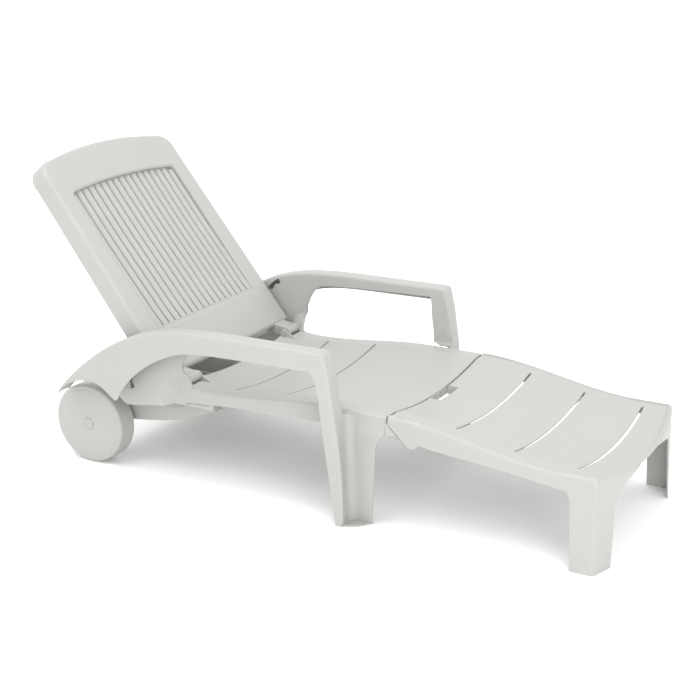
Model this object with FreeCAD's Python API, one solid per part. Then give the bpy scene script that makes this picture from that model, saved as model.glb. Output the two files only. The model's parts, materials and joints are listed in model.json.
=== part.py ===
import FreeCAD, Part
import math
import os

from FreeCAD import Vector

# Reclining sun lounger in moulded plastic, all sizes in millimetres.
# Working frame: X points to the foot end and is zero at the foot-end corners, Y points left,
# Z points up from the ground. All pieces move together at the end, so that the origin is the
# bottom centre of the whole object at rest.

# --- Driving dimensions -------------------------------------------------------------------

foot_length = 538.0          # from the fold line to the foot-end corners
seat_length = 617.0          # from the fold line to the rear end of the seat pan
half_width = 288.0           # outer face of the seat's side rails
fold_height = 292.8          # top of the rails at the fold
foot_height = 237.0          # top of the rails at the foot end
wall = 3.5                   # general moulded wall
strip_width = 46.0           # flat strip on top of each rail
dish_depth = 24.0            # how far the lying surface dips between the strips
fold_gap = 5.0               # open gap between seat and foot section
slot_width = 4.5             # drainage slots across the lying surface
slot_end_margin = 12.0       # from a slot's end to the strip's inner edge
slot_pitch = 155.0           # from one slot to the next

foot_bow = 36.0              # how far the foot end bows outwards
foot_side_gap = 4.0          # foot section stands this far inside the seat's rails
foot_leg_length = 57.0       # foot leg along X at the ground
foot_leg_width = 60.0        # foot leg across Y at the ground
foot_leg_draft = 5.0         # how far a foot leg leans outwards at the ground
apron_depth = 40.0           # depth of the foot-end apron beside the legs

fold_pin_back = 67.0         # from the fold line to the fold pin, towards the foot
fold_pin_drop = 50.8         # from the rail top at the fold down to the fold pin
fold_pin_radius = 6.0
fold_lug_radius = 20.0
running_clearance = 0.08     # radial, wherever a pin turns in a bore
tongue_inset = 7.5           # from the foot section's side to the seat's tongue
tongue_thickness = 7.0

hinge_inset = 8.0            # from the seat's rear end to the backrest hinge
hinge_height = 278.4
hinge_pin_radius = 6.0
hinge_knuckle_radius = 12.0
ear_radius = 15.0
ear_inner = half_width - 64.0    # inner side face of a backrest ear
ear_outer = half_width - 12.0
ear_side_gap = 2.0
cheek_thickness = 6.0

recline_angle = 51.6         # of the backrest from level, at rest
lowest_angle = 5.0
upright_angle = 72.0
back_rise = 36.9             # from the hinge to the backrest's lower edge, along the backrest
back_setback = 18.7          # lying face of the backrest behind the hinge
back_length = 689.0          # lower edge to the middle of the crown
back_bottom_half = half_width + 12.0
back_top_half = half_width - 5.3
back_shoulder = 608.0        # where the straight sides end
back_crown_side = 667.0      # height of the crown near the corners
back_thickness = 51.0
slat_count = 17
slat_gap = 8.0
field_bottom = 120.0
field_top = 566.0            # at the field's corners
field_crown = 14.0
field_half = half_width - 55.0
field_depth = 11.0           # how far the slats lie below the face at the field's top

lug_radius = 4.5
lug_distance = 148.0         # from the hinge to the recline lug
lug_lag = 15.1               # lug direction below the backrest's own line, in degrees
rack_clearance = 0.5
rack_notch_count = 7
rack_notch_depth = 4.0

arm_inner = half_width + 28.0    # inner face of an arm
arm_outer = half_width + 77.5
arm_top = 453.0
arm_depth = 51.0             # outer skirt
arm_skirt_inner = 30.0       # inner skirt
post_foot_width = 19.0
post_foot_outer = half_width + 56.0    # outer face of the middle leg at the ground
post_setback = 93.7          # from the fold line back to the foot of the post
web_length = 56.0            # leg's inner web along X at the ground
web_thickness = 4.0

wheel_radius = 112.6
wheel_inner = half_width - 35.0
wheel_outer = half_width + 25.0
wheel_setback = 308.5        # from the hinge back to the axle
wheel_face = 5.0
wheel_rim = 8.0
hub_radius = 20.0
axle_radius = 6.0
cap_radius = 17.3
cap_rise = 0.8
nut_radius = 11.0

beam_half = half_width - 48.0    # outer side faces of the rear beam
beam_top = 205.0
beam_seat_height = 214.0     # underside of the seat's bosses
boss_radius = 9.0
screw_radius = 2.5
screw_head_radius = 4.5
screw_head = 3.0
screw_access = 5.5           # radius of the way in for a screw's head

# --- Places that follow from them ---------------------------------------------------------

x_fold = -foot_length
x_tail = x_fold - seat_length
x_hinge = x_tail + hinge_inset
x_axle = x_hinge - wheel_setback
z_axle = wheel_radius
x_pin = x_fold + fold_pin_back
z_pin = fold_height - fold_pin_drop
foot_half = half_width - foot_side_gap
BIG = 400.0


# --- Helpers ------------------------------------------------------------------------------

def xz(x, z, y=0.0):
    return Vector(x, y, z)


def line(a, b):
    return Part.LineSegment(a, b).toShape()


def arc(a, b, c):
    return Part.Arc(a, b, c).toShape()


def curve(points):
    spline = Part.BSplineCurve()
    spline.interpolate(points)
    return spline.toShape()


def offset_curve(edge, distance, count):
    """Points beside an XZ edge, at a distance to its right when seen from -Y."""
    first, last = edge.ParameterRange
    points = []
    for i in range(count):
        at = first + (last - first) * i / (count - 1)
        tangent = edge.tangentAt(at)
        points.append(edge.valueAt(at) + Vector(tangent.z, 0, -tangent.x) * distance)
    return points


def prism(edges, y0, y1):
    """Solid between two Y planes from closed XZ edges drawn at Y = 0."""
    face = Part.Face(Part.Wire(edges))
    face.translate(Vector(0, y0, 0))
    return face.extrude(Vector(0, y1 - y0, 0))


def polygon(points):
    return Part.makePolygon(points + [points[0]]).Edges


def box(x0, x1, y0, y1, z0, z1):
    return Part.makeBox(x1 - x0, y1 - y0, z1 - z0, Vector(x0, y0, z0))


def rod_y(x, z, radius, y0, y1):
    return Part.makeCylinder(radius, y1 - y0, Vector(x, y0, z), Vector(0, 1, 0))


def rod_z(x, y, radius, z0, z1):
    return Part.makeCylinder(radius, z1 - z0, Vector(x, y, z0), Vector(0, 0, 1))


def fused(shapes):
    return shapes[0].multiFuse(shapes[1:]).removeSplitter()


def both_sides(shape):
    return [shape, mirrored(shape)]


def mirrored(shape):
    return shape.mirror(Vector(0, 0, 0), Vector(0, 1, 0))


# --- Lying surface ------------------------------------------------------------------------

def rail_height(x):
    """Top of the side rails at a place along X: level at the fold, falling both ways."""
    if x > x_fold:
        share = min(1.0, (x - x_fold) / (0.85 * foot_length))
        return fold_height - (fold_height - foot_height) * (1.0 - math.cos(math.pi * share)) / 2.0
    back = (x_fold - x) / seat_length
    sag = 26.8 * (1.0 - math.cos(2.0 * math.pi * max(0.0, back - 0.25) / 1.2)) / 2.0
    return fold_height - sag + 5.0 * max(0.0, back - 0.88) / 0.12


def block_under_surface(x0, x1, half, lean, drop, stations):
    """Everything under the dished lying surface, lowered by drop."""
    wires = []
    for i in range(stations):
        x = x0 + (x1 - x0) * i / (stations - 1)
        top = rail_height(x) - drop
        inner = half - strip_width
        corners = [Vector(x, -half - lean, -5), Vector(x, half + lean, -5), Vector(x, half, top)]
        corners += [Vector(x, inner, top), Vector(x, -inner, top), Vector(x, -half, top)]
        edges = [line(corners[0], corners[1]), line(corners[1], corners[2])]
        edges.append(line(corners[2], corners[3]))
        edges.append(arc(corners[3], Vector(x, 0, top - dish_depth), corners[4]))
        edges.append(line(corners[4], corners[5]))
        edges.append(line(corners[5], corners[0]))
        wires.append(Part.Wire(edges))
    return Part.makeLoft(wires, True, False)


def drain_slot(x, half):
    end = half - strip_width - slot_end_margin
    across = box(x - slot_width / 2, x + slot_width / 2, -end, end, 150, 350)
    ends = [rod_z(x, side * end, slot_width / 2, 150, 350) for side in (-1, 1)]
    return across.multiFuse(ends)


def cross_rib(x, half, depth):
    """Rib across the underside, following the dish."""
    rib = box(x, x + wall, -half, half, rail_height(x) - dish_depth - depth, rail_height(x))
    return rib.common(block_under_surface(x - 20, x + 20, half, 0, wall / 2, 3))


# --- Foot section -------------------------------------------------------------------------

def foot_plan(half, x_rear, inset, z):
    corner = -inset
    end = foot_bow - inset
    points = [Vector(x_rear, -half, z), Vector(corner, -half, z), Vector(corner, half, z)]
    points.append(Vector(x_rear, half, z))
    edges = [line(points[0], points[1]), arc(points[1], Vector(end, 0, z), points[2])]
    edges += [line(points[2], points[3]), line(points[3], points[0])]
    return Part.Wire(edges)


def foot_body(inset, x_rear):
    """Plan shape of the foot section from the ground up, leaning outwards at the ground."""
    low = foot_plan(foot_half + foot_leg_draft - inset, x_rear, inset - foot_leg_draft, 0)
    high = foot_plan(foot_half - inset, x_rear, inset, foot_height)
    rise = foot_plan(foot_half - inset, x_rear, inset, fold_height + 10)
    lower = Part.makeLoft([low, high], True, True)
    return lower.fuse(Part.makeLoft([high, rise], True, True))


def make_foot_section():
    x_rear = x_fold + fold_gap / 2
    outer = block_under_surface(x_rear, foot_bow + 10, foot_half, foot_leg_draft, 0, 9)
    outer = outer.common(foot_body(0, x_rear))
    hollow = block_under_surface(x_rear - 1, foot_bow + 11, foot_half, 0, wall, 9)
    hollow = hollow.common(foot_body(wall, x_rear + wall))
    shell = outer.cut(hollow)

    leg_top = foot_height - apron_depth
    lug_right = xz(x_pin + fold_lug_radius * 0.94, z_pin - fold_lug_radius * 0.34)
    lug_left = xz(x_pin - fold_lug_radius * 0.94, z_pin - fold_lug_radius * 0.34)
    knee = 24.0
    leg_inner = -foot_leg_length + foot_leg_draft
    start = xz(leg_inner - 8, leg_top - knee)
    rail = xz(start.x - knee, leg_top + 2)
    low_left = xz(x_fold - 60, -20)
    cut_edges = [line(low_left, xz(leg_inner, -20)), line(xz(leg_inner, -20), start)]
    cut_edges.append(arc(start, xz(start.x - knee * 0.22, start.z + knee * 0.8), rail))
    cut_edges.append(curve([rail, xz(rail.x - 200, rail.z + 21), lug_right]))
    cut_edges.append(arc(lug_right, xz(x_pin, z_pin - fold_lug_radius), lug_left))
    shoulder = xz(x_rear - 1, z_pin + 33)
    cut_edges.append(curve([lug_left, xz(x_pin - 47, z_pin + 16), shoulder]))
    cut_edges.append(line(shoulder, xz(x_rear - 1, fold_height + 20)))
    cut_edges.append(line(xz(x_rear - 1, fold_height + 20), xz(x_fold - 60, fold_height + 20)))
    cut_edges.append(line(xz(x_fold - 60, fold_height + 20), low_left))
    shell = shell.cut(prism(cut_edges, -BIG, BIG))

    side = foot_half - foot_leg_width
    narrow = side - 22
    apron = [Vector(-70, side, -20), Vector(-70, narrow, leg_top - 22)]
    apron += [Vector(-70, 0, leg_top + 14), Vector(-70, -narrow, leg_top - 22)]
    apron.append(Vector(-70, -side, -20))
    apron_edges = [line(apron[0], apron[1]), arc(apron[1], apron[2], apron[3])]
    apron_edges += [line(apron[3], apron[4]), line(apron[4], apron[0])]
    arch = Part.Face(Part.Wire(apron_edges)).extrude(Vector(140, 0, 0))
    shell = shell.cut(arch)

    reach = foot_half - tongue_inset - tongue_thickness - 3
    flange = box(x_rear, x_rear + wall, -reach, reach, z_pin + 8, fold_height)
    flange = flange.common(outer)
    parts = [shell, flange]
    for x in (-foot_length * 0.2, -foot_length * 0.45, -foot_length * 0.75):
        parts.append(cross_rib(x, foot_half - wall / 2, 16))
    for side_shape in both_sides(rod_y(x_pin, z_pin, fold_lug_radius - 1, foot_half - 7, foot_half)):
        parts.append(side_shape)
    section = fused(parts)
    for i in range(3):
        section = section.cut(drain_slot(x_fold + slot_pitch * (i + 1) + 8, foot_half))
    section = section.cut(hand_hold())
    for bore in both_sides(rod_y(x_pin, z_pin, fold_pin_radius, foot_half - 20, foot_half + 5)):
        section = section.cut(bore)
    return section


def hand_hold():
    """Opening for the fingers, in the edge of the foot section at the fold."""
    half, depth, round_radius = 55.0, 34.0, 9.0
    tool = box(x_fold, x_fold + depth, -half, half, 150, 350)
    return tool.makeFillet(round_radius, [e for e in tool.Edges if is_hold_corner(e, depth)])


def is_hold_corner(edge, depth):
    middle = edge.CenterOfMass
    upright = abs(edge.tangentAt(edge.FirstParameter).z) > 0.99
    return upright and abs(middle.x - x_fold - depth) < 0.01


# --- Seat section -------------------------------------------------------------------------

def make_seat_section():
    x_front = x_fold - fold_gap / 2
    outer = block_under_surface(x_tail - 40, x_fold + 40, half_width, 0, 0, 11)
    hollow = block_under_surface(x_tail - 41, x_fold + 41, half_width - wall, 0, wall, 11)
    shell = outer.cut(hollow)

    rail_depth = 48.0
    foot_side = [xz(x_front, fold_height + 20), xz(x_front, z_pin + 34)]
    front_low = xz(x_pin - 36, fold_height - rail_depth)
    edges = [line(foot_side[0], foot_side[1])]
    edges.append(curve([foot_side[1], xz(x_pin - 51, z_pin + 16), front_low]))
    rear_low = xz(x_tail - 20, 214)
    bottom = [front_low, xz(x_fold - 188, 244.8), xz(x_tail + 240, 240), xz(x_tail + 110, 231)]
    edges.append(curve(bottom + [rear_low]))
    rear_top = xz(x_hinge + 4, rail_height(x_hinge) + 20)
    edges.append(line(rear_low, xz(x_tail - 18, 235)))
    edges.append(line(xz(x_tail - 18, 235), xz(x_hinge + 9, rail_height(x_hinge))))
    edges.append(line(xz(x_hinge + 9, rail_height(x_hinge)), rear_top))
    edges.append(line(rear_top, foot_side[0]))
    rails = shell.common(prism(edges, -BIG, BIG))
    dish_half = half_width - strip_width
    rails = rails.cut(box(x_tail - 60, x_fold + 60, -dish_half, dish_half, 0, BIG))
    pan = shell.common(box(x_tail, x_front, -dish_half - 1, dish_half + 1, 0, BIG))

    under = block_under_surface(x_tail - 5, x_fold + 5, half_width, 0, 0.5, 11)
    parts = [rails, pan]
    reach = half_width - wall / 2
    front_flange = box(x_front - wall, x_front, -reach, reach, z_pin + 2, fold_height)
    rear_flange = box(x_tail, x_tail + wall, -ear_inner + 9, ear_inner - 9, 222, BIG)
    parts += [front_flange.common(under), rear_flange.common(under)]
    for back in (0.28, 0.53, 0.78):
        parts.append(cross_rib(x_fold - seat_length * back, half_width - wall / 2, 18))
    parts += hold_steps(x_front)
    for y0, y1 in ((ear_inner - ear_side_gap - cheek_thickness, ear_inner - ear_side_gap),
                   (ear_outer + ear_side_gap, half_width - wall / 2)):
        parts += both_sides(hinge_cheek(y0, y1))
    for cheek in both_sides(fold_tongue()):
        parts.append(cheek)
    for x, y in beam_screw_places():
        parts.append(rod_z(x, y, boss_radius, beam_seat_height, rail_height(x) - wall / 2))
    section = fused(parts)

    for i in range(3):
        section = section.cut(drain_slot(x_fold - slot_pitch * (i + 1) - 6, half_width))
    room_inner, room_outer = ear_inner - ear_side_gap, ear_outer + ear_side_gap
    holes = both_sides(box(x_tail - 60, x_hinge + ear_radius + 7, room_inner, room_outer, 200, BIG))
    holes += both_sides(rod_y(x_hinge, hinge_height, hinge_pin_radius, 200, half_width - wall))
    tongue_bore = fold_pin_radius + running_clearance
    holes += both_sides(rod_y(x_pin, z_pin, tongue_bore, foot_half - 20, foot_half - 5))
    for x, y in beam_screw_places():
        holes.append(rod_z(x, y, screw_radius, beam_seat_height - 1, beam_seat_height + 14))
    for x, z in arm_screw_places():
        holes += both_sides(rod_y(x, z, screw_radius, half_width - wall - 1, half_width + 1))
        holes += both_sides(rod_y(x, z, screw_access, ear_outer - 10, half_width - wall))
    for hole in holes:
        section = section.cut(hole)
    return section


def hold_steps(x_front):
    """Three finger steps on the seat's wall inside the hand-hold."""
    floor = fold_height - dish_depth
    steps = []
    for i in range(3):
        y = -30.0 + 30.0 * i
        steps.append(box(x_front - 1, x_front + 1.5, y - 9, y + 9, floor - 22, floor - 5))
    return steps


def hinge_cheek(y0, y1):
    knuckle = rod_y(x_hinge, hinge_height, hinge_knuckle_radius, y0, y1)
    points = [xz(x_hinge - 10, hinge_height - 6), xz(x_hinge - 4, 236), xz(x_hinge + 46, 236)]
    points += [xz(x_hinge + 46, rail_height(x_hinge + 46) - 1), xz(x_hinge + 6, hinge_height + 6)]
    return fused([knuckle, prism(polygon(points), y0, y1)])


def fold_tongue():
    """Inner plate of the seat that carries the fold pin, with the block that joins it to the rail."""
    y1 = foot_half - tongue_inset
    y0 = y1 - tongue_thickness
    x0 = x_fold - 62
    points = [xz(x0, z_pin + 6), xz(x_pin, z_pin - 14), xz(x_pin + 8, z_pin + 11)]
    points += [xz(x_fold - 8, z_pin + 24), xz(x0, fold_height - 8)]
    plate = prism(polygon(points), y0, y1)
    eye = rod_y(x_pin, z_pin, 14, y0, y1)
    block = box(x0, x_fold - 12, y0, half_width - wall / 2, z_pin + 6, fold_height - wall / 2)
    return fused([plate, eye, block])


def beam_screw_places():
    return [(x_hinge + dx, side * (half_width - 26.0)) for dx in (50.0, 78.0) for side in (-1, 1)]


def arm_screw_places():
    front = [(x_fold - 62, fold_height - 24), (x_fold - 24, fold_height - 22)]
    return front + [(x_tail + 16, 240), (x_tail - 4, 232)]


# --- Rear beam ----------------------------------------------------------------------------

def beam_profile(inset, top):
    """Side outline of the tray-shaped beam; its front rises in a curve to meet the seat."""
    rear = x_axle - 24 + inset
    front = x_hinge + 94 - inset
    low = z_axle - 8 + inset
    corner = xz(x_hinge - 36 - inset / 2, 150 + inset)
    edges = [line(xz(rear, top), xz(rear, low)), line(xz(rear, low), corner)]
    tip = xz(front, beam_seat_height - 12 + inset)
    edges.append(curve([corner, xz(x_hinge + 18, 169 + inset), xz(x_hinge + 57, 187 + inset), tip]))
    edges.append(line(tip, xz(front, top)))
    edges.append(line(xz(front, top), xz(rear, top)))
    return edges


def make_rear_beam():
    deck = beam_seat_height
    body = prism(beam_profile(0, deck), -beam_half, beam_half)
    inner = prism(beam_profile(wall, deck + 5), -beam_half + wall, beam_half - wall)
    lowered = box(x_axle - 60, x_hinge - 14, -BIG, BIG, beam_top, deck + 10)
    body = body.cut(inner).cut(lowered)
    parts = [body]
    tube = rod_y(x_axle, z_axle, axle_radius + 7, -beam_half, beam_half)
    parts.append(tube)
    for y in (-120.0, 0.0, 120.0):
        rib = prism(beam_profile(wall / 2, deck - 8), y - wall / 2, y + wall / 2)
        parts.append(rib.cut(lowered))
    flange = box(x_hinge + 36, x_hinge + 92, beam_half - wall, half_width - 14, deck - wall, deck)
    parts += both_sides(flange)
    beam = fused(parts)
    beam = beam.cut(rod_y(x_axle, z_axle, axle_radius, -beam_half - 1, beam_half + 1))
    for x, y in beam_screw_places():
        beam = beam.cut(rod_z(x, y, screw_radius, deck - 10, deck + 1))
    return beam


# --- Arms ---------------------------------------------------------------------------------

def arm_top_points():
    """Upper edge of an arm, from the tail over the hump and along the armrest to the post."""
    hump = [(-368, 212.2), (-317, 269.8), (-262, 315.8), (-208, 355.2), (-146, 389.8), (-95, 413.8)]
    hump += [(-39.6, 430.1), (37, 442.6), (118, 448.3)]
    points = [xz(x_hinge + dx, z) for dx, z in hump]
    points += [xz(x_fold - 245, arm_top - 1.8), xz(x_fold - 139, arm_top)]
    return points


def wheel_arch_points():
    arch = [(-356, 219.8), (-334, 238.1), (-301, 254.4), (-266, 261.1), (-232, 259.2), (-200, 242.9)]
    return [xz(x_hinge + dx, z) for dx, z in arch] + [xz(x_hinge - 174, 223.7)]


def fender_points():
    edge = [(-165, 222.7), (-145, 251.5), (-109.6, 293.8), (-61.6, 332.2), (-11.7, 361), (37, 381.1)]
    return [xz(x_hinge + dx, z) for dx, z in edge] + [xz(x_hinge + 63, 386.9)]


def post_front():
    foot = xz(x_fold - post_setback, 0)
    top = [xz(x_fold - 139, arm_top), xz(x_fold - 121.5, arm_top - 60)]
    return top + [xz(x_fold - 109, arm_top - 153), foot]


def make_arm():
    level = fold_height + 22
    front = post_front()
    top_edge = curve(arm_top_points())
    under_top = offset_curve(top_edge, wall, 24)[:-1]
    nose = xz(front[0].x + 4, arm_top - 7)
    tail = arm_top_points()[0]
    wheel_arch = wheel_arch_points()
    fender = fender_points()

    front_level = xz(front[2].x - 0.5, level)
    band = [top_edge, curve([front[0], nose, front[1], front_level])]
    inner_front = xz(front_level.x - wall, level)
    inner_knee = xz(front[1].x - wall, front[1].z)
    inner_corner = xz(front[0].x - wall + 1, under_top[-1].z)
    band.append(line(front_level, inner_front))
    band.append(curve([inner_front, inner_knee, inner_corner]))
    band.append(line(inner_corner, under_top[-1]))
    band.append(curve(list(reversed(under_top))))
    band.append(line(under_top[0], tail))
    cover = prism(band, arm_inner, arm_outer)

    lower_rear = xz(x_fold - 175, arm_top - arm_depth)
    lower = [fender[-1], xz(x_hinge + 137, 395.5), xz(x_hinge + 219, 397.4), lower_rear]
    rear_level = xz(x_fold - 150, level)
    outer_edges = [top_edge, curve([front[0], nose, front[1], front_level])]
    outer_edges.append(line(front_level, rear_level))
    outer_edges.append(line(rear_level, lower_rear))
    outer_edges.append(curve(list(reversed(lower))))
    outer_edges.append(curve(list(reversed(fender))))
    outer_edges.append(line(fender[0], wheel_arch[-1]))
    outer_edges.append(curve(list(reversed(wheel_arch))))
    outer_edges.append(line(wheel_arch[0], tail))
    outer_skirt = prism(outer_edges, arm_outer - wall, arm_outer)

    shield_top = xz(x_hinge + 55, arm_top - arm_skirt_inner - 26)
    shield_low = xz(x_hinge + 10, rail_height(x_hinge) + 12)
    inner_edges = [top_edge, curve([front[0], nose, front[1], front_level])]
    inner_edges.append(line(front_level, rear_level))
    inner_edges.append(line(rear_level, xz(x_fold - 180, arm_top - arm_skirt_inner)))
    inner_edges.append(curve([xz(x_fold - 180, arm_top - arm_skirt_inner), xz(x_fold - 350, arm_top - 35),
                              shield_top]))
    inner_edges.append(curve([shield_top, xz(x_hinge + 30, 330), shield_low]))
    low_rear = xz(x_hinge - 186, 222)
    inner_edges.append(line(shield_low, xz(x_hinge - 26, 216)))
    inner_edges.append(line(xz(x_hinge - 26, 216), low_rear))
    inner_edges.append(line(low_rear, wheel_arch[-2]))
    inner_edges.append(curve(list(reversed(wheel_arch[:-1]))))
    inner_edges.append(line(wheel_arch[0], tail))
    panel = prism(inner_edges, arm_inner, arm_inner + wall).cut(recline_rack())

    bracket_points = [xz(x_hinge + 9, 262), xz(x_hinge + 9, 224)]
    bracket_points += [xz(x_hinge - 26, 216), xz(x_hinge - 26, 236)]
    bracket = prism(polygon(bracket_points), half_width, arm_inner + wall / 2)
    parts = [cover, outer_skirt, panel, bracket] + leg_parts(level, front_level, rear_level)
    arm = fused(parts)
    for x, z in arm_screw_places():
        depth = web_thickness - 1 if x > x_tail + 60 else 16
        arm = arm.cut(rod_y(x, z, screw_radius, half_width - 1, half_width + depth))
    return arm


def recline_rack():
    """Arc track for the recline lug, with resting notches on its outer side."""
    half = lug_radius + rack_clearance
    low = lowest_angle - lug_lag
    high = upright_angle - lug_lag

    def at(radius, degrees):
        turn = math.radians(degrees)
        return xz(x_hinge - radius * math.cos(turn), hinge_height + radius * math.sin(turn))

    middle = (low + high) / 2
    outer, inner = lug_distance + half, lug_distance - half
    edges = [arc(at(outer, low), at(outer, middle), at(outer, high))]
    edges.append(line(at(outer, high), at(inner, high)))
    edges.append(arc(at(inner, high), at(inner, middle), at(inner, low)))
    edges.append(line(at(inner, low), at(outer, low)))
    y0, y1 = arm_inner - 5, arm_inner + wall + 5
    track = prism(edges, y0, y1)
    ends = [rod_y(at(lug_distance, a).x, at(lug_distance, a).z, half, y0, y1) for a in (low, high)]
    notches = []
    for i in range(rack_notch_count):
        degrees = low + (high - low) * i / (rack_notch_count - 1)
        centre = at(lug_distance - rack_notch_depth, degrees)
        notches.append(rod_y(centre.x, centre.z, half, y0, y1))
    return track.multiFuse(ends + notches)


def leg_section(z, outer_y, x_outer_front, outer_width, web_front):
    """L-shaped plan section of the middle leg: outer strip, cross wall and inner web."""
    x0 = x_outer_front
    inner = half_width
    points = [Vector(x0 - outer_width, outer_y, z), Vector(x0, outer_y, z)]
    points += [Vector(x0, inner + web_thickness, z), Vector(web_front, inner + web_thickness, z)]
    points += [Vector(web_front, inner, z), Vector(x0 - web_thickness, inner, z)]
    points += [Vector(x0 - web_thickness, outer_y - web_thickness, z)]
    points += [Vector(x0 - outer_width, outer_y - web_thickness, z)]
    return Part.Wire(Part.makePolygon(points + [points[0]]).Edges)


def leg_parts(level, front_level, rear_level):
    ground_x = x_fold - post_setback
    gusset_z = fold_height - 80
    share = gusset_z / level
    mid_x = ground_x + (front_level.x - ground_x) * share
    mid_width = post_foot_width + (front_level.x - rear_level.x - post_foot_width) * share
    lean = arm_outer - post_foot_outer
    mid_y = arm_outer - lean * (1 - share)
    web_x = ground_x + web_length
    low = leg_section(0, arm_outer - lean, ground_x, post_foot_width, web_x)
    middle = leg_section(gusset_z, mid_y, mid_x, mid_width, web_x + 9)
    leg = Part.makeLoft([low, middle], True, True)
    rail_top = fold_height - 6
    high_share = rail_top / level
    high_x = ground_x + (front_level.x - ground_x) * high_share
    high_width = post_foot_width + (front_level.x - rear_level.x - post_foot_width) * high_share
    high_y = arm_outer - lean * (1 - high_share)
    high = leg_section(rail_top, high_y, high_x, high_width, web_x + 9)
    upper = Part.makeLoft([middle, high], True, True)
    crown = leg_section(level, arm_outer, front_level.x, front_level.x - rear_level.x, front_level.x + 0.5)
    start = leg_section(rail_top, high_y, high_x, high_width, high_x + 0.5)
    crown_loft = Part.makeLoft([start, crown], True, True)
    crown_loft = crown_loft.cut(box(x_fold - 300, x_fold, half_width - 1, arm_inner, rail_top, BIG))

    gusset_tip = xz(x_fold - 6, fold_height - 12)
    gusset_edges = [line(xz(mid_x, gusset_z), xz(web_x + 9, gusset_z))]
    gusset_low = xz(x_fold - 6, gusset_z + 32)
    gusset_edges.append(arc(xz(web_x + 9, gusset_z), xz(web_x + 15, gusset_z + 22), gusset_low))
    gusset_edges.append(line(gusset_low, gusset_tip))
    gusset_edges.append(line(gusset_tip, xz(mid_x, fold_height - 12)))
    gusset_edges.append(line(xz(mid_x, fold_height - 12), xz(mid_x, gusset_z)))
    gusset = prism(gusset_edges, half_width, half_width + web_thickness)

    corner = Vector(ground_x - 1, half_width + 1, 0)
    tip_y = arm_outer - lean - 1
    front_lip = [Vector(ground_x - 1, tip_y, 0), Vector(ground_x + web_length * 0.7, half_width + 26, 0)]
    front_lip.append(Vector(web_x - 2, half_width + 1, 0))
    sole_edges = [line(corner, front_lip[0]), arc(front_lip[0], front_lip[1], front_lip[2])]
    sole_edges.append(line(front_lip[2], corner))
    sole = Part.Face(Part.Wire(sole_edges)).extrude(Vector(0, 0, wall + 1))
    return [leg, upper, crown_loft, gusset, sole]


# --- Backrest -----------------------------------------------------------------------------

def placed_back(shape):
    """From the backrest's own frame (X up the backrest, Z out of its face) to its place at rest."""
    turned = shape.mirror(Vector(0, 0, 0), Vector(1, 0, 0))
    turned.translate(Vector(-back_rise, 0, -back_setback))
    turned.rotate(Vector(0, 0, 0), Vector(0, 1, 0), recline_angle)
    turned.translate(Vector(x_hinge, 0, hinge_height))
    return turned


def back_outline(inset):
    """Plan of the backrest: straight tapering sides, round corners and a crowned top."""
    taper = (back_bottom_half - back_top_half) / back_shoulder
    low = [Vector(inset, side * (back_bottom_half - inset), 0) for side in (-1, 1)]
    half = back_bottom_half - inset - taper * back_shoulder
    shoulders = [Vector(back_shoulder, side * half, 0) for side in (-1, 1)]
    corner_y = back_top_half - 45
    corners = [Vector(back_crown_side - inset, side * corner_y, 0) for side in (-1, 1)]
    bend_x = back_crown_side - 15 - inset * 0.7
    bend = [Vector(bend_x, side * (half - 11 + inset * 0.3), 0) for side in (-1, 1)]
    crown = Vector(back_length - inset, 0, 0)
    edges = [line(low[0], low[1]), line(low[1], shoulders[1])]
    edges.append(arc(shoulders[1], bend[1], corners[1]))
    edges.append(arc(corners[1], crown, corners[0]))
    edges.append(arc(corners[0], bend[0], shoulders[0]))
    edges.append(line(shoulders[0], low[0]))
    return Part.Wire(edges)


def slat_field_outline():
    low = [Vector(field_bottom, side * field_half, 0) for side in (-1, 1)]
    high = [Vector(field_top, side * field_half, 0) for side in (-1, 1)]
    crown = Vector(field_top + field_crown, 0, 0)
    edges = [line(low[0], low[1]), line(low[1], high[1]), arc(high[1], crown, high[0])]
    edges.append(line(high[0], low[0]))
    return Part.Wire(edges)


def slat_panel():
    """Dished panel inside the frame, cut into upright slats."""
    top = field_top + field_crown + 2
    face = [xz(field_bottom - 2, -0.5), xz(field_bottom + 120, -3.5), xz(field_bottom + 330, -field_depth)]
    face.append(xz(top, -field_depth))
    rear = [xz(p.x, p.z - wall) for p in face]
    edges = [curve(face), line(face[-1], rear[-1]), curve(list(reversed(rear))), line(rear[0], face[0])]
    panel = prism(edges, -field_half - 1, field_half + 1)
    pitch = 2 * field_half / slat_count
    cuts = []
    for i in range(1, slat_count):
        y = -field_half + pitch * i
        end = field_top + field_crown * (1 - (y / field_half) ** 2) - 10
        cuts.append(box(field_bottom + 8, end, y - slat_gap / 2, y + slat_gap / 2, -40, 5))
    return panel.cut(cuts[0].multiFuse(cuts[1:]))


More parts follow.
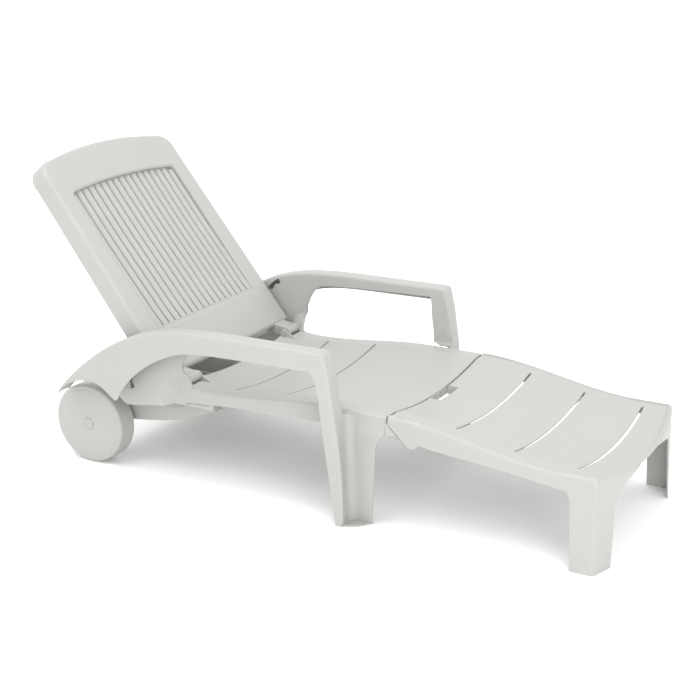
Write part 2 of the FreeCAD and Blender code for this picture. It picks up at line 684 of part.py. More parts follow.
def make_backrest():
    frame = Part.Face(back_outline(0)).extrude(Vector(0, 0, -back_thickness))
    pocket = Part.Face(back_outline(wall + 0.5)).extrude(Vector(0, 0, -back_thickness))
    pocket.translate(Vector(0, 0, -wall - 0.5))
    frame = frame.cut(pocket)
    window = Part.Face(slat_field_outline()).extrude(Vector(0, 0, -back_thickness - 20))
    window.translate(Vector(0, 0, 10))
    frame = frame.cut(window)
    parts = [frame, slat_panel()]
    wall_depth = field_depth + wall
    rim = Part.Face(slat_field_outline()).extrude(Vector(0, 0, -wall_depth))
    grown = rim.makeOffsetShape(wall, 0.01, join=2)
    collar = grown.cut(window).common(box(0, back_length, -BIG, BIG, -wall_depth, -wall / 2))
    parts.append(collar)
    for share in (0.22, 0.5, 0.78):
        x = field_bottom + (field_top - field_bottom) * share
        parts.append(box(x, x + wall, -field_half, field_half, -34, -field_depth - 1))
    for y in (-field_half - 3, field_half):
        parts.append(box(wall, back_shoulder, y, y + 3, -34, -wall))
    for x in (field_bottom - 6, field_top + field_crown + 4):
        parts.append(box(x, x + 3, -field_half, field_half, -34, -wall))
    for ear in both_sides(back_ear()):
        parts.append(ear)
    lug_x, lug_z = lug_place()
    boss = rod_y(lug_x, lug_z, 9, back_bottom_half - 14, arm_inner - 1.5)
    boss = boss.cut(rod_y(lug_x, lug_z, lug_radius, back_bottom_half - 9, arm_inner))
    for side_boss in both_sides(boss):
        parts.append(side_boss)
    back = fused(parts)
    for bore in both_sides(rod_y(lug_x, lug_z, lug_radius, back_bottom_half - 9, arm_inner)):
        back = back.cut(bore)
    ear_bore = hinge_pin_radius + running_clearance
    for bore in both_sides(rod_y(-back_rise, back_setback, ear_bore, ear_inner - 5, ear_outer + 5)):
        back = back.cut(bore)
    return placed_back(back)


def back_ear():
    """Arm of the backrest that reaches forward and up to the hinge pin."""
    eye = rod_y(-back_rise, back_setback, ear_radius, ear_inner, ear_outer)
    points = [xz(-back_rise + 4, back_setback + ear_radius), xz(2, 0), xz(2, -34), xz(-8, -30)]
    points.append(xz(-back_rise - 11, back_setback - 10))
    return fused([eye, prism(polygon(points), ear_inner, ear_outer)])


def lug_place():
    """Recline lug in the backrest's own frame."""
    turn = math.radians(lug_lag)
    along = lug_distance * math.cos(turn) - back_rise
    return along, back_setback - lug_distance * math.sin(turn)


def make_recline_lug():
    lug_x, lug_z = lug_place()
    shank = rod_y(lug_x, lug_z, lug_radius, back_bottom_half - 9, arm_inner + 14)
    head = rod_y(lug_x, lug_z, lug_radius + 5, arm_inner + wall + 1, arm_inner + wall + 5)
    return placed_back(fused([shank, head]))


# --- Pins, axle and wheels ----------------------------------------------------------------

def make_hinge_pin():
    shank = rod_y(x_hinge, hinge_height, hinge_pin_radius, ear_inner - 12, half_width - wall)
    head = rod_y(x_hinge, hinge_height, hinge_pin_radius + 3, ear_inner - 12, ear_inner - 8)
    return fused([shank, head])


def make_fold_pin():
    shank = rod_y(x_pin, z_pin, fold_pin_radius, foot_half - 19, foot_half)
    head = rod_y(x_pin, z_pin, fold_pin_radius + 3, foot_half, foot_half + 1.5)
    return fused([shank, head])


def make_fold_clip():
    clip = rod_y(x_pin, z_pin, fold_pin_radius + 5, foot_half - 17.5, foot_half - 14.8)
    return clip.cut(rod_y(x_pin, z_pin, fold_pin_radius, foot_half - 20, foot_half))


def make_axle():
    return rod_y(x_axle, z_axle, axle_radius, -wheel_outer + 9.5, wheel_outer - 9.5)


def make_spacer():
    ring = rod_y(x_axle, z_axle, nut_radius, beam_half, wheel_inner - 0.2)
    return ring.cut(rod_y(x_axle, z_axle, axle_radius, beam_half - 1, wheel_inner))


def make_push_nut():
    ring = rod_y(x_axle, z_axle, nut_radius, wheel_outer - 12.8, wheel_outer - 9.8)
    return ring.cut(rod_y(x_axle, z_axle, axle_radius, wheel_outer - 14, wheel_outer))


def make_wheel():
    """Hollow wheel, plain outside with one fine ring line, ribbed inside."""
    r, edge = wheel_radius, 7.0
    y0, y1 = wheel_inner, wheel_outer
    seat_y = wheel_outer - 13.0
    line_r = r - 13.0
    points = [(hub_radius, y0), (hub_radius, y1 - wheel_face)]
    points += [(r - wheel_rim, y1 - wheel_face), (r - wheel_rim, y0)]
    points += [(r - 2, y0), (r, y0 + 2), (r, y1 - edge)]
    edges = [line(Vector(a[0], a[1], 0), Vector(b[0], b[1], 0)) for a, b in zip(points, points[1:])]
    corner = [Vector(r, y1 - edge, 0), Vector(r - edge * 0.3, y1 - edge * 0.3, 0), Vector(r - edge, y1, 0)]
    edges.append(arc(corner[0], corner[1], corner[2]))
    face = [(r - edge, y1), (line_r + 2, y1), (line_r + 1, y1 - 1), (line_r - 1, y1 - 1), (line_r - 2, y1)]
    face += [(cap_radius, y1), (cap_radius, seat_y), (axle_radius + running_clearance, seat_y)]
    face += [(axle_radius + running_clearance, y0), (hub_radius, y0)]
    edges += [line(Vector(a[0], a[1], 0), Vector(b[0], b[1], 0)) for a, b in zip(face, face[1:])]
    wheel = Part.Face(Part.Wire(edges)).revolve(Vector(0, 0, 0), Vector(0, 1, 0), 360)
    ribs = []
    for i in range(8):
        rib = box(hub_radius - 1, r - wheel_rim + 1, y0 + 6, y1 - wheel_face + 1, -1.5, 1.5)
        rib.rotate(Vector(0, 0, 0), Vector(0, 1, 0), 45 * i)
        ribs.append(rib)
    wheel = fused([wheel] + ribs)
    wheel.translate(Vector(x_axle, 0, z_axle))
    return wheel


def make_hub_cap():
    cap = rod_y(x_axle, z_axle, cap_radius, wheel_outer - 7, wheel_outer + cap_rise)
    dish = rod_y(x_axle, z_axle, cap_radius - 4, wheel_outer, wheel_outer + 5)
    return cap.cut(dish)


# --- Screws -------------------------------------------------------------------------------

def make_arm_screws():
    screws = []
    for x, z in arm_screw_places():
        reach = web_thickness - 1 if x > x_tail + 60 else 16
        head_y = half_width - wall
        shank = rod_y(x, z, screw_radius, head_y - screw_head, half_width + reach)
        head = rod_y(x, z, screw_head_radius, head_y - screw_head, head_y)
        screws.append(fused([shank, head]))
    return Part.makeCompound(screws)


def make_beam_screws():
    screws = []
    low = beam_seat_height - wall
    for x, y in beam_screw_places():
        shank = rod_z(x, y, screw_radius, low - screw_head, beam_seat_height + 14)
        head = rod_z(x, y, screw_head_radius, low - screw_head, low)
        screws.append(fused([shank, head]))
    return Part.makeCompound(screws)


# --- All pieces ---------------------------------------------------------------------------

def make_all():
    pieces = {"seat_section": make_seat_section()}
    pieces["rear_beam"] = make_rear_beam()
    pieces["foot_section"] = make_foot_section()
    pieces["backrest"] = make_backrest()
    pieces["axle"] = make_axle()
    pieces["beam_screws"] = make_beam_screws()
    paired = {"arm": make_arm(), "recline_lug": make_recline_lug(), "hinge_pin": make_hinge_pin()}
    paired["fold_pin"] = make_fold_pin()
    paired["fold_clip"] = make_fold_clip()
    paired["axle_spacer"] = make_spacer()
    paired["push_nut"] = make_push_nut()
    paired["wheel"] = make_wheel()
    paired["hub_cap"] = make_hub_cap()
    paired["arm_screws"] = make_arm_screws()
    for name, shape in paired.items():
        pieces["left_" + name] = shape
        pieces["right_" + name] = mirrored(shape)
    return pieces


def main():
    os.makedirs("parts", exist_ok=True)
    pieces = make_all()
    bounds = FreeCAD.BoundBox()
    for shape in pieces.values():
        bounds.add(shape.optimalBoundingBox(False))
    shift = Vector(-bounds.Center.x, 0, -bounds.ZMin)
    for name, shape in pieces.items():
        shape.translate(shift)
        shape.exportStep("parts/" + name + ".step")
        print(name, len(shape.Solids), shape.isValid(), round(shape.Volume / 1000, 1), "cm3")
    size = (bounds.XLength, bounds.YLength, bounds.ZLength)
    print("size", [round(side, 1) for side in size])
    print("shift", round(shift.x, 2), round(shift.z, 2))
    print("hinge", round(x_hinge + shift.x, 2), round(hinge_height + shift.z, 2))
    print("fold pin", round(x_pin + shift.x, 2), round(z_pin + shift.z, 2))
    print("axle", round(x_axle + shift.x, 2), round(z_axle + shift.z, 2))


main()
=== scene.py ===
import json
import math

import bmesh
import bpy
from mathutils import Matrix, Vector


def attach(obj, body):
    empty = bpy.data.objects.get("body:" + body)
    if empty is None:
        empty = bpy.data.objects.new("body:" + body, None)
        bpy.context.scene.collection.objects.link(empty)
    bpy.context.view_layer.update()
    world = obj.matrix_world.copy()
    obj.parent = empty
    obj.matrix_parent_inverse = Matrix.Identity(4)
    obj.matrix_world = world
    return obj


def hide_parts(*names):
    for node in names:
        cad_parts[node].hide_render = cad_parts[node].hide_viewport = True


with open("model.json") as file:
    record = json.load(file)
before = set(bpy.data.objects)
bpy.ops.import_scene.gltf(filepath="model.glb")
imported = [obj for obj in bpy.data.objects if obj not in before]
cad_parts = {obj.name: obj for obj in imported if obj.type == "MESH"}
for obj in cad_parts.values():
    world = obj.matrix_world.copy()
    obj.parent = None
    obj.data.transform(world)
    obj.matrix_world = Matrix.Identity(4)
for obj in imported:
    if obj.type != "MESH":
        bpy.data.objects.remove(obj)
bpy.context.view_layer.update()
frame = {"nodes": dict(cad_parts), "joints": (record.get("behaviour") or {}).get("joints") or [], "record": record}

# Sizes below are in millimetres in the row frame; the places come from the joints.

MM = 0.001
PLACES = {joint["name"]: Vector(joint["pos_m"]) / MM for joint in frame["joints"]}
HINGE = PLACES["backrest_recline"]
FOLD_PIN = PLACES["foot_fold"]
AXLE = PLACES["left_wheel_spin"]
SEAT_LENGTH = 617.0
FOOT_LENGTH = 538.0
X_FOLD = FOLD_PIN.x - 67.0
X_TAIL = HINGE.x - 8.0
X_END = X_FOLD + FOOT_LENGTH
WALL = 3.5

# --- Camera, floor and light --------------------------------------------------------------

VIEW_AZIMUTH = math.radians(29.28)
VIEW_ELEVATION = math.radians(18.06)
VIEW_DISTANCE = 3.7316
VIEW_TARGET = Vector((0.0065, 0.0, 0.3416))
LENS = 71.49


def make_camera():
    data = bpy.data.cameras.new("camera")
    data.lens = LENS
    data.sensor_width = 36.0
    camera = bpy.data.objects.new("camera", data)
    bpy.context.scene.collection.objects.link(camera)
    level = math.cos(VIEW_ELEVATION)
    back = Vector((math.sin(VIEW_AZIMUTH) * level, -math.cos(VIEW_AZIMUTH) * level, math.sin(VIEW_ELEVATION)))
    camera.location = VIEW_TARGET + back * VIEW_DISTANCE
    camera.rotation_mode = "QUATERNION"
    camera.rotation_quaternion = (-back).to_track_quat("-Z", "Y")
    bpy.context.scene.camera = camera


def area_light(name, place, aim, size, power):
    data = bpy.data.lights.new(name, "AREA")
    data.shape = "DISK"
    data.size = size
    data.energy = power
    light = bpy.data.objects.new(name, data)
    light.location = place
    light.rotation_mode = "QUATERNION"
    light.rotation_quaternion = (Vector(aim) - Vector(place)).to_track_quat("-Z", "Y")
    bpy.context.scene.collection.objects.link(light)


def make_stage():
    size = 30.0
    mesh = bpy.data.meshes.new("floor")
    corners = [(-size, -size, 0), (size, -size, 0), (size, size, 0), (-size, size, 0)]
    mesh.from_pydata(corners, [], [(0, 1, 2, 3)])
    floor = bpy.data.objects.new("floor", mesh)
    bpy.context.scene.collection.objects.link(floor)
    material = bpy.data.materials.new("floor")
    material.use_nodes = True
    shader = material.node_tree.nodes["Principled BSDF"]
    shader.inputs["Base Color"].default_value = (0.98, 0.98, 0.98, 1.0)
    shader.inputs["Roughness"].default_value = 0.9
    mesh.materials.append(material)

    world = bpy.data.worlds.new("studio")
    world.use_nodes = True
    sky = world.node_tree.nodes["Background"]
    sky.inputs["Color"].default_value = (1.0, 1.0, 1.0, 1.0)
    sky.inputs["Strength"].default_value = 1.30
    bpy.context.scene.world = world
    bpy.context.scene.view_settings.view_transform = "Standard"
    area_light("key", (-0.9, -1.4, 4.4), (0.0, 0.0, 0.3), 3.2, 85.0)
    area_light("fill", (2.6, -2.4, 1.5), (0.0, 0.0, 0.35), 2.4, 45.0)


# --- Materials ----------------------------------------------------------------------------

def moulded(name, colour, roughness, grain, mottle=0.03, metallic=0.0):
    """Plastic or metal with a fine surface grain and slightly uneven colour and gloss."""
    material = bpy.data.materials.new(name)
    material.use_nodes = True
    nodes, links = material.node_tree.nodes, material.node_tree.links
    shader = nodes["Principled BSDF"]
    shader.inputs["Metallic"].default_value = metallic
    place = nodes.new("ShaderNodeTexCoord")

    cloud = nodes.new("ShaderNodeTexNoise")
    cloud.inputs["Scale"].default_value = 7.0
    cloud.inputs["Detail"].default_value = 4.0
    links.new(place.outputs["Object"], cloud.inputs["Vector"])
    tint = nodes.new("ShaderNodeValToRGB")
    tint.color_ramp.elements[0].position = 0.3
    tint.color_ramp.elements[1].position = 0.7
    tint.color_ramp.elements[0].color = (*[c * (1.0 - mottle) for c in colour], 1.0)
    tint.color_ramp.elements[1].color = (*colour, 1.0)
    links.new(cloud.outputs["Fac"], tint.inputs["Fac"])
    links.new(tint.outputs["Color"], shader.inputs["Base Color"])

    gloss = nodes.new("ShaderNodeMapRange")
    gloss.inputs["To Min"].default_value = roughness - 0.05
    gloss.inputs["To Max"].default_value = roughness + 0.07
    links.new(cloud.outputs["Fac"], gloss.inputs["Value"])
    links.new(gloss.outputs["Result"], shader.inputs["Roughness"])

    pits = nodes.new("ShaderNodeTexNoise")
    pits.inputs["Scale"].default_value = grain
    pits.inputs["Detail"].default_value = 3.0
    links.new(place.outputs["Object"], pits.inputs["Vector"])
    bump = nodes.new("ShaderNodeBump")
    bump.inputs["Strength"].default_value = 0.12
    bump.inputs["Distance"].default_value = 0.0003
    links.new(pits.outputs["Fac"], bump.inputs["Height"])
    links.new(bump.outputs["Normal"], shader.inputs["Normal"])
    return material


# --- Mesh helpers -------------------------------------------------------------------------

def P(x, y, z):
    return Vector((x, y, z))


def grid(rows, skip=None, flip=False, closed=False):
    """A sheet through rows of points; skip(i, j) leaves a cell open."""
    count = len(rows[0])
    points = [point for row in rows for point in row]
    faces = []
    for i in range(len(rows) - 1):
        for j in range(count if closed else count - 1):
            if skip and skip(i, j):
                continue
            k = (j + 1) % count
            quad = (i * count + j, i * count + k, (i + 1) * count + k, (i + 1) * count + j)
            faces.append(quad[::-1] if flip else quad)
    return points, faces


def mirrored(sheet):
    points, faces = sheet
    return [P(p.x, -p.y, p.z) for p in points], [face[::-1] for face in faces]


def both(sheet):
    return [sheet, mirrored(sheet)]


def swept(outline, across):
    """Closed solid from a planar closed outline, moved by a vector."""
    count = len(outline)
    points = list(outline) + [p + across for p in outline]
    faces = [tuple(range(count)), tuple(range(count, 2 * count))[::-1]]
    for i in range(count):
        k = (i + 1) % count
        faces.append((i, i + count, k + count, k))
    return points, faces


def plate(outline_xz, y0, y1):
    return swept([P(x, y0, z) for x, z in outline_xz], P(0, y1 - y0, 0))


def disc_outline(x, z, radius, count=32):
    turns = [2 * math.pi * i / count for i in range(count)]
    return [(x + radius * math.cos(t), z + radius * math.sin(t)) for t in turns]


def block(x0, x1, y0, y1, z0, z1):
    return plate([(x0, z0), (x1, z0), (x1, z1), (x0, z1)], y0, y1)


def smooth(share):
    share = min(1.0, max(0.0, share))
    return share * share * (3.0 - 2.0 * share)


def mix(a, b, share):
    return a + (b - a) * share


def interp(x, table):
    for (x0, v0), (x1, v1) in zip(table, table[1:]):
        if x <= x1:
            return mix(v0, v1, max(0.0, (x - x0) / (x1 - x0)))
    return table[-1][1]


def refine(pairs, steps=2):
    """Smooth curve through tuples of numbers, with extra ones between."""
    out = []
    for i in range(len(pairs) - 1):
        before = pairs[max(0, i - 1)]
        after = pairs[min(len(pairs) - 1, i + 2)]
        for s in range(steps):
            t = s / steps
            row = []
            for p0, p1, p2, p3 in zip(before, pairs[i], pairs[i + 1], after):
                bend = 2 * p0 - 5 * p1 + 4 * p2 - p3
                twist = 3 * p1 - p0 - 3 * p2 + p3
                row.append(0.5 * (2 * p1 + (p2 - p0) * t + bend * t * t + twist * t ** 3))
            out.append(tuple(row))
    return out + [tuple(pairs[-1])]


def make_piece(name, sheets, body, slot, nodes=(), thickness=0.0, bevel=0.8, closed=False, cutters=()):
    points, faces = [], []
    for sheet_points, sheet_faces in sheets:
        start = len(points)
        points += [p * MM for p in sheet_points]
        faces += [tuple(start + i for i in face) for face in sheet_faces]
    mesh = bpy.data.meshes.new(name)
    mesh.from_pydata(points, [], faces)
    work = bmesh.new()
    work.from_mesh(mesh)
    bmesh.ops.remove_doubles(work, verts=work.verts, dist=2e-5)
    loose = [vert for vert in work.verts if not vert.link_faces]
    bmesh.ops.delete(work, geom=loose, context="VERTS")
    if closed:
        bmesh.ops.recalc_face_normals(work, faces=work.faces)
    work.to_mesh(mesh)
    work.free()
    piece = bpy.data.objects.new(name, mesh)
    bpy.context.scene.collection.objects.link(piece)
    mesh.materials.append(MATERIALS[slot])
    if thickness:
        solid = piece.modifiers.new("wall", "SOLIDIFY")
        solid.thickness = thickness * MM
        solid.offset = -1.0
        solid.use_even_offset = False
    if cutters:
        cut_away(piece, cutters)
    for polygon in piece.data.polygons:
        polygon.use_smooth = True
    rounding(piece, bevel)
    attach(piece, body)
    if nodes:
        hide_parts(*nodes)
    return piece


def rounding(piece, width):
    edge = piece.modifiers.new("edges", "BEVEL")
    edge.width = width * MM
    edge.segments = 2
    edge.limit_method = "ANGLE"
    edge.angle_limit = math.radians(38.0)
    edge.use_clamp_overlap = True
    piece.modifiers.new("shading", "WEIGHTED_NORMAL")


def cut_away(piece, cutters):
    """Cuts closed solids out of a piece for good."""
    tools = []
    for i, (points, faces) in enumerate(cutters):
        mesh = bpy.data.meshes.new("cutter")
        mesh.from_pydata([p * MM for p in points], [], faces)
        work = bmesh.new()
        work.from_mesh(mesh)
        bmesh.ops.recalc_face_normals(work, faces=work.faces)
        work.to_mesh(mesh)
        work.free()
        tool = bpy.data.objects.new("cutter", mesh)
        bpy.context.scene.collection.objects.link(tool)
        tools.append(tool)
        cut = piece.modifiers.new("cut%d" % i, "BOOLEAN")
        cut.operation = "DIFFERENCE"
        cut.solver = "EXACT"
        cut.object = tool
    done = bpy.data.meshes.new_from_object(piece.evaluated_get(bpy.context.evaluated_depsgraph_get()))
    piece.modifiers.clear()
    piece.data = done
    for tool in tools:
        bpy.data.objects.remove(tool)


# --- Lying surface ------------------------------------------------------------------------

HALF = 288.0
FOOT_HALF = 284.0
STRIP = 46.0
DISH = 24.0
FOLD_HEIGHT = 292.8
FOOT_HEIGHT = 237.0
EDGE = 7.0


def rail_height(x):
    """Top of the side rail: an S-shaped fall over the foot section, a shallow sag along the seat."""
    if x > X_FOLD:
        turn = math.pi * min(1.0, (x - X_FOLD) / 457.3)
        return FOLD_HEIGHT - (FOLD_HEIGHT - FOOT_HEIGHT) * (1 - math.cos(turn)) / 2
    back = (X_FOLD - x) / SEAT_LENGTH
    sag = 26.8 * (1 - math.cos(2 * math.pi * max(0.0, back - 0.25) / 1.2)) / 2
    return FOLD_HEIGHT - sag + 5.0 * max(0.0, back - 0.88) / 0.12


def dish(y, half):
    """How far the surface lies below the rail's top, with a soft start."""
    share = abs(y) / (half - STRIP)
    return DISH * (1.0 - share * share) if share < 1.0 else 0.0


def stations(start, end, step, extra):
    count = max(1, round((end - start) / step))
    marks = sorted([start + (end - start) * i / count for i in range(count + 1)] + list(extra))
    return [m for i, m in enumerate(marks) if i == 0 or m - marks[i - 1] > 0.4]


def skirt_low(x):
    return interp(x, [(X_TAIL - 60, 212), (X_TAIL - 20, 214), (X_TAIL + 40, 222.5), (X_TAIL + 110, 231),
                      (X_TAIL + 175, 236.2), (X_TAIL + 240, 240), (X_FOLD - 290, 243), (X_FOLD - 188, 244.8),
                      (X_FOLD + 60, 244.8)])


SKIRT_SHARES = (0.0, 0.08, 0.3, 0.55, 0.8, 1.0)
ROUND_TURNS = (30.0, 60.0)


def cross_columns(marks):
    """Columns from one skirt's foot over the top to the other skirt's foot, as (kind, value, side)."""
    side = [("skirt", share) for share in SKIRT_SHARES]
    side += [("round", turn) for turn in ROUND_TURNS]
    top = [("top", -y) for y in marks] + [("top", 0.0)] + [("top", y) for y in reversed(marks)]
    columns = [(kind, value, -1) for kind, value in side] + [(kind, value, 0) for kind, value in top]
    return columns + [(kind, value, 1) for kind, value in reversed(side)]


def column_y(column, half):
    kind, value, side = column
    if kind == "top":
        return value
    if kind == "skirt":
        return side * half
    return side * (half - EDGE * (1.0 - math.cos(math.radians(value))))


SEAT_MARKS = [281, 278, 268, 258, 249, 245, 242, 238.5, 234, 230, 222, 208, 192, 174, 156, 138, 120]
SEAT_MARKS += [100, 80, 60, 40, 20]
SEAT_SLOTS = [X_FOLD - 155.0 * (i + 1) - 6.0 for i in range(3)]
FOOT_SLOTS = [X_FOLD + 155.0 * (i + 1) + 8.0 for i in range(3)]
SLOT_HALF = 3.0


def seat_sheets():
    x_front = X_FOLD - 2.5
    edges = [s + d for s in SEAT_SLOTS for d in (-SLOT_HALF, SLOT_HALF)]
    xs = stations(X_TAIL, x_front - 4, 20, edges + [X_TAIL + 17, X_TAIL + 30])
    xs = [x for x in xs if x in edges or min(abs(x - e) for e in edges) > 4]
    drops = [0.0] * len(xs) + [1.2, 4.0, 12.0, 22.0]
    lows = xs + [x_front - 1.2, x_front, x_front, x_front]
    columns = cross_columns(SEAT_MARKS)
    rear = X_TAIL + 17
    rows = []
    for x, drop in zip(lows, drops):
        row = []
        for column in columns:
            kind, value, side = column
            y = column_y(column, HALF)
            top = rail_height(x)
            z = top - dish(y, HALF) - drop
            at = x
            if kind == "skirt":
                low = skirt_low(x)
                z = mix(low, top - EDGE, value)
            elif kind == "round":
                lift = math.sin(math.radians(value))
                z = top - EDGE + EDGE * lift - drop * lift ** 2
            if side:
                slant = 37.0 * min(1.0, max(0.0, (top - z) / (top - 235.0)))
                at -= slant * max(0.0, 1.0 - (x - rear) / 80.0)
                fall = max(0.0, (276.0 - z) / 31.2)
                at += 33.5 * fall * max(0.0, 1.0 - (x_front - x) / 70.0)
            row.append(P(at, y, z))
        rows.append(row)

    def skip(i, j):
        x0, x1 = lows[i], lows[i + 1]
        y0 = abs(column_y(columns[j], HALF))
        y1 = abs(column_y(columns[j + 1], HALF))
        inner, outer = min(y0, y1), max(y0, y1)
        if i >= len(xs) and columns[j][0] == "skirt" and columns[j + 1][0] == "skirt" and x0 == x_front:
            return True
        if inner >= 222 and outer <= 278 and x1 <= X_TAIL + 30.1:
            return True
        if inner >= 278 and x1 <= rear + 0.1:
            return True
        on_slot = any(abs((x0 + x1) / 2 - s) < 0.5 for s in SEAT_SLOTS)
        return on_slot and outer <= 242

    shell = grid(rows, skip, flip=True)
    flange = []
    for z in (None, 246.0, 244.0):
        flange.append([P(x_front, p.y, p.z if z is None else z) for p in rows[-1] if abs(p.y) < HALF - 2])
    rear_wall = []
    for depth in (0.0, 0.5, 1.0):
        row = []
        for y in range(-220, 221, 20):
            top = rail_height(X_TAIL) - dish(y, HALF)
            row.append(P(X_TAIL, y, mix(top, 222.0, depth)))
        rear_wall.append(row)
    return [shell, grid(flange, flip=True), grid(rear_wall)]


def under_rib(x, half, depth):
    ys = [half - 4 - i * (2 * half - 8) / 28 for i in range(29)]
    low = rail_height(x) - DISH - depth
    top = [P(x, y, rail_height(x) - dish(y, half) - 2) for y in ys]
    return grid([top, [P(p.x, p.y, low) for p in top]])


def make_seat():
    slot = "moulded_plastic"
    make_piece("seat_shell", seat_sheets(), "base", slot, ["seat_section"], thickness=WALL)
    solids = []
    for turn in (-1, 0, 1):
        y = 30.0 * turn
        solids.append(block(X_FOLD - 4, X_FOLD - 0.6, y - 10, y + 10, 247, 264))
    for y0, y1 in ((216, 222), (278, 285)):
        solids += both(plate(disc_outline(HINGE.x, HINGE.z, 12), y0, y1))
        web = [(HINGE.x - 10, 272.4), (HINGE.x - 4, 236), (HINGE.x + 46, 236),
               (HINGE.x + 46, rail_height(HINGE.x + 46) - 4), (HINGE.x + 6, 284.4)]
        solids += both(plate(web, y0 + 0.4, y1 - 0.4))
    y1 = FOOT_HALF - 7.5
    tongue = [(X_FOLD - 62, 248), (FOLD_PIN.x, 228), (FOLD_PIN.x + 8, 253), (X_FOLD - 8, 266)]
    tongue.append((X_FOLD - 62, 284))
    solids += both(plate(tongue, y1 - 7, y1))
    solids += both(plate(disc_outline(FOLD_PIN.x, FOLD_PIN.z, 14), y1 - 7.2, y1 + 0.2))
    for dx in (50.0, 78.0):
        outline = disc_outline(HINGE.x + dx, 262.0, 9, 20)
        posts = swept([P(x, y, 214.0) for x, y in outline], P(0, 0, 52.0))
        solids += both(posts)
    make_piece("seat_details", solids, "base", slot, closed=True, bevel=0.6)
    ribs = [under_rib(X_FOLD - SEAT_LENGTH * back, HALF, 18) for back in (0.28, 0.53, 0.78)]
    make_piece("seat_ribs", ribs, "base", slot, thickness=WALL, bevel=0.4)


# --- Foot section -------------------------------------------------------------------------

BOW = 36.0
DRAFT = 5.0
FOOT_MARKS = [277, 270, 261, 252, 245, 241, 238, 234, 230, 226, 210, 192, 174, 156, 138, 120]
FOOT_MARKS += [102, 84, 68, 55, 40, 20]


def bow_at(y):
    return BOW * (1.0 - (y / FOOT_HALF) ** 2)


def foot_rows():
    rear = X_FOLD + 2.5
    hold = X_FOLD + 34
    edges = [s + d for s in FOOT_SLOTS for d in (-SLOT_HALF, SLOT_HALF)]
    xs = stations(rear + 4, X_END - EDGE, 18, edges + [hold])
    xs = [x for x in xs if x in edges or min(abs(x - e) for e in edges) > 4]
    return rear, hold, xs


def foot_place(x, y):
    """A point of the foot section's top; the last part spreads out to the bowed end."""
    at = x + bow_at(y) * smooth((x - (X_END - 120)) / (120 - EDGE)) ** 1.5
    return P(at, y, rail_height(at) - dish(y, FOOT_HALF))


def foot_sheets():
    rear, hold, xs = foot_rows()
    ys = [-y for y in FOOT_MARKS] + [0.0] + list(reversed(FOOT_MARKS))
    rows = []
    for x, drop in ((rear, 12.0), (rear, 4.0), (rear + 1.2, 1.2)):
        row = []
        for y in ys:
            p = foot_place(x, y)
            row.append(P(p.x, p.y, p.z - drop))
        rows.append(row)
    rows += [[foot_place(x, y) for y in ys] for x in xs]
    places = [rear, rear, rear + 1.2] + xs

    def skip(i, j):
        mid = (places[i] + places[i + 1]) / 2
        outer = max(abs(ys[j]), abs(ys[j + 1]))
        if outer <= 55 and mid < hold:
            return True
        return outer <= 238 and any(abs(mid - s) < 0.5 for s in FOOT_SLOTS)

    sheets = [grid(rows, skip, flip=True)]
    sheets.append(hand_hold(rear, hold))
    sheets += foot_ring(rear, xs)
    return sheets


def hand_hold(rear, hold):
    path = [(rear, -55), (hold, -55), (hold, -28), (hold, 0), (hold, 28), (hold, 55), (rear, 55)]
    rows = []
    for drop in (0.0, 12.0, 24.0):
        rows.append([P(x, y, foot_place(x, y).z - drop) for x, y in path])
    return grid(rows)


def side_low(x):
    """Lower edge of the foot section's side rail, round the pin lug and the leg's knee."""
    dx = x - FOLD_PIN.x
    if dx < -47:
        return 258.0 + (-47 - dx) * 17.0 / 19.0
    if dx < -18.8:
        return mix(258.0, 235.2, ((dx + 47) / 28.2) ** 0.9)
    if dx < 18.8:
        return FOLD_PIN.z - math.sqrt(400.0 - dx * dx)
    at = x - X_END
    if at < -284:
        return interp(at, [(-452.2, 235.2), (-430, 231.6), (-400, 228.6), (-350, 225), (-284, 220)])
    if at < -84:
        return interp(at, [(-284, 220), (-230, 215.2), (-180, 210.1), (-130, 204.5), (-84, 199)])
    return interp(at, [(-84, 199), (-78, 198.2), (-72, 196.4), (-68, 193.8), (-65, 190), (-62.4, 184),
                       (-60.6, 177), (-60, 173)])


def apron_low(y):
    return 175.0 + 36.0 * (1.0 - (y / 202.0) ** 2) ** 0.85


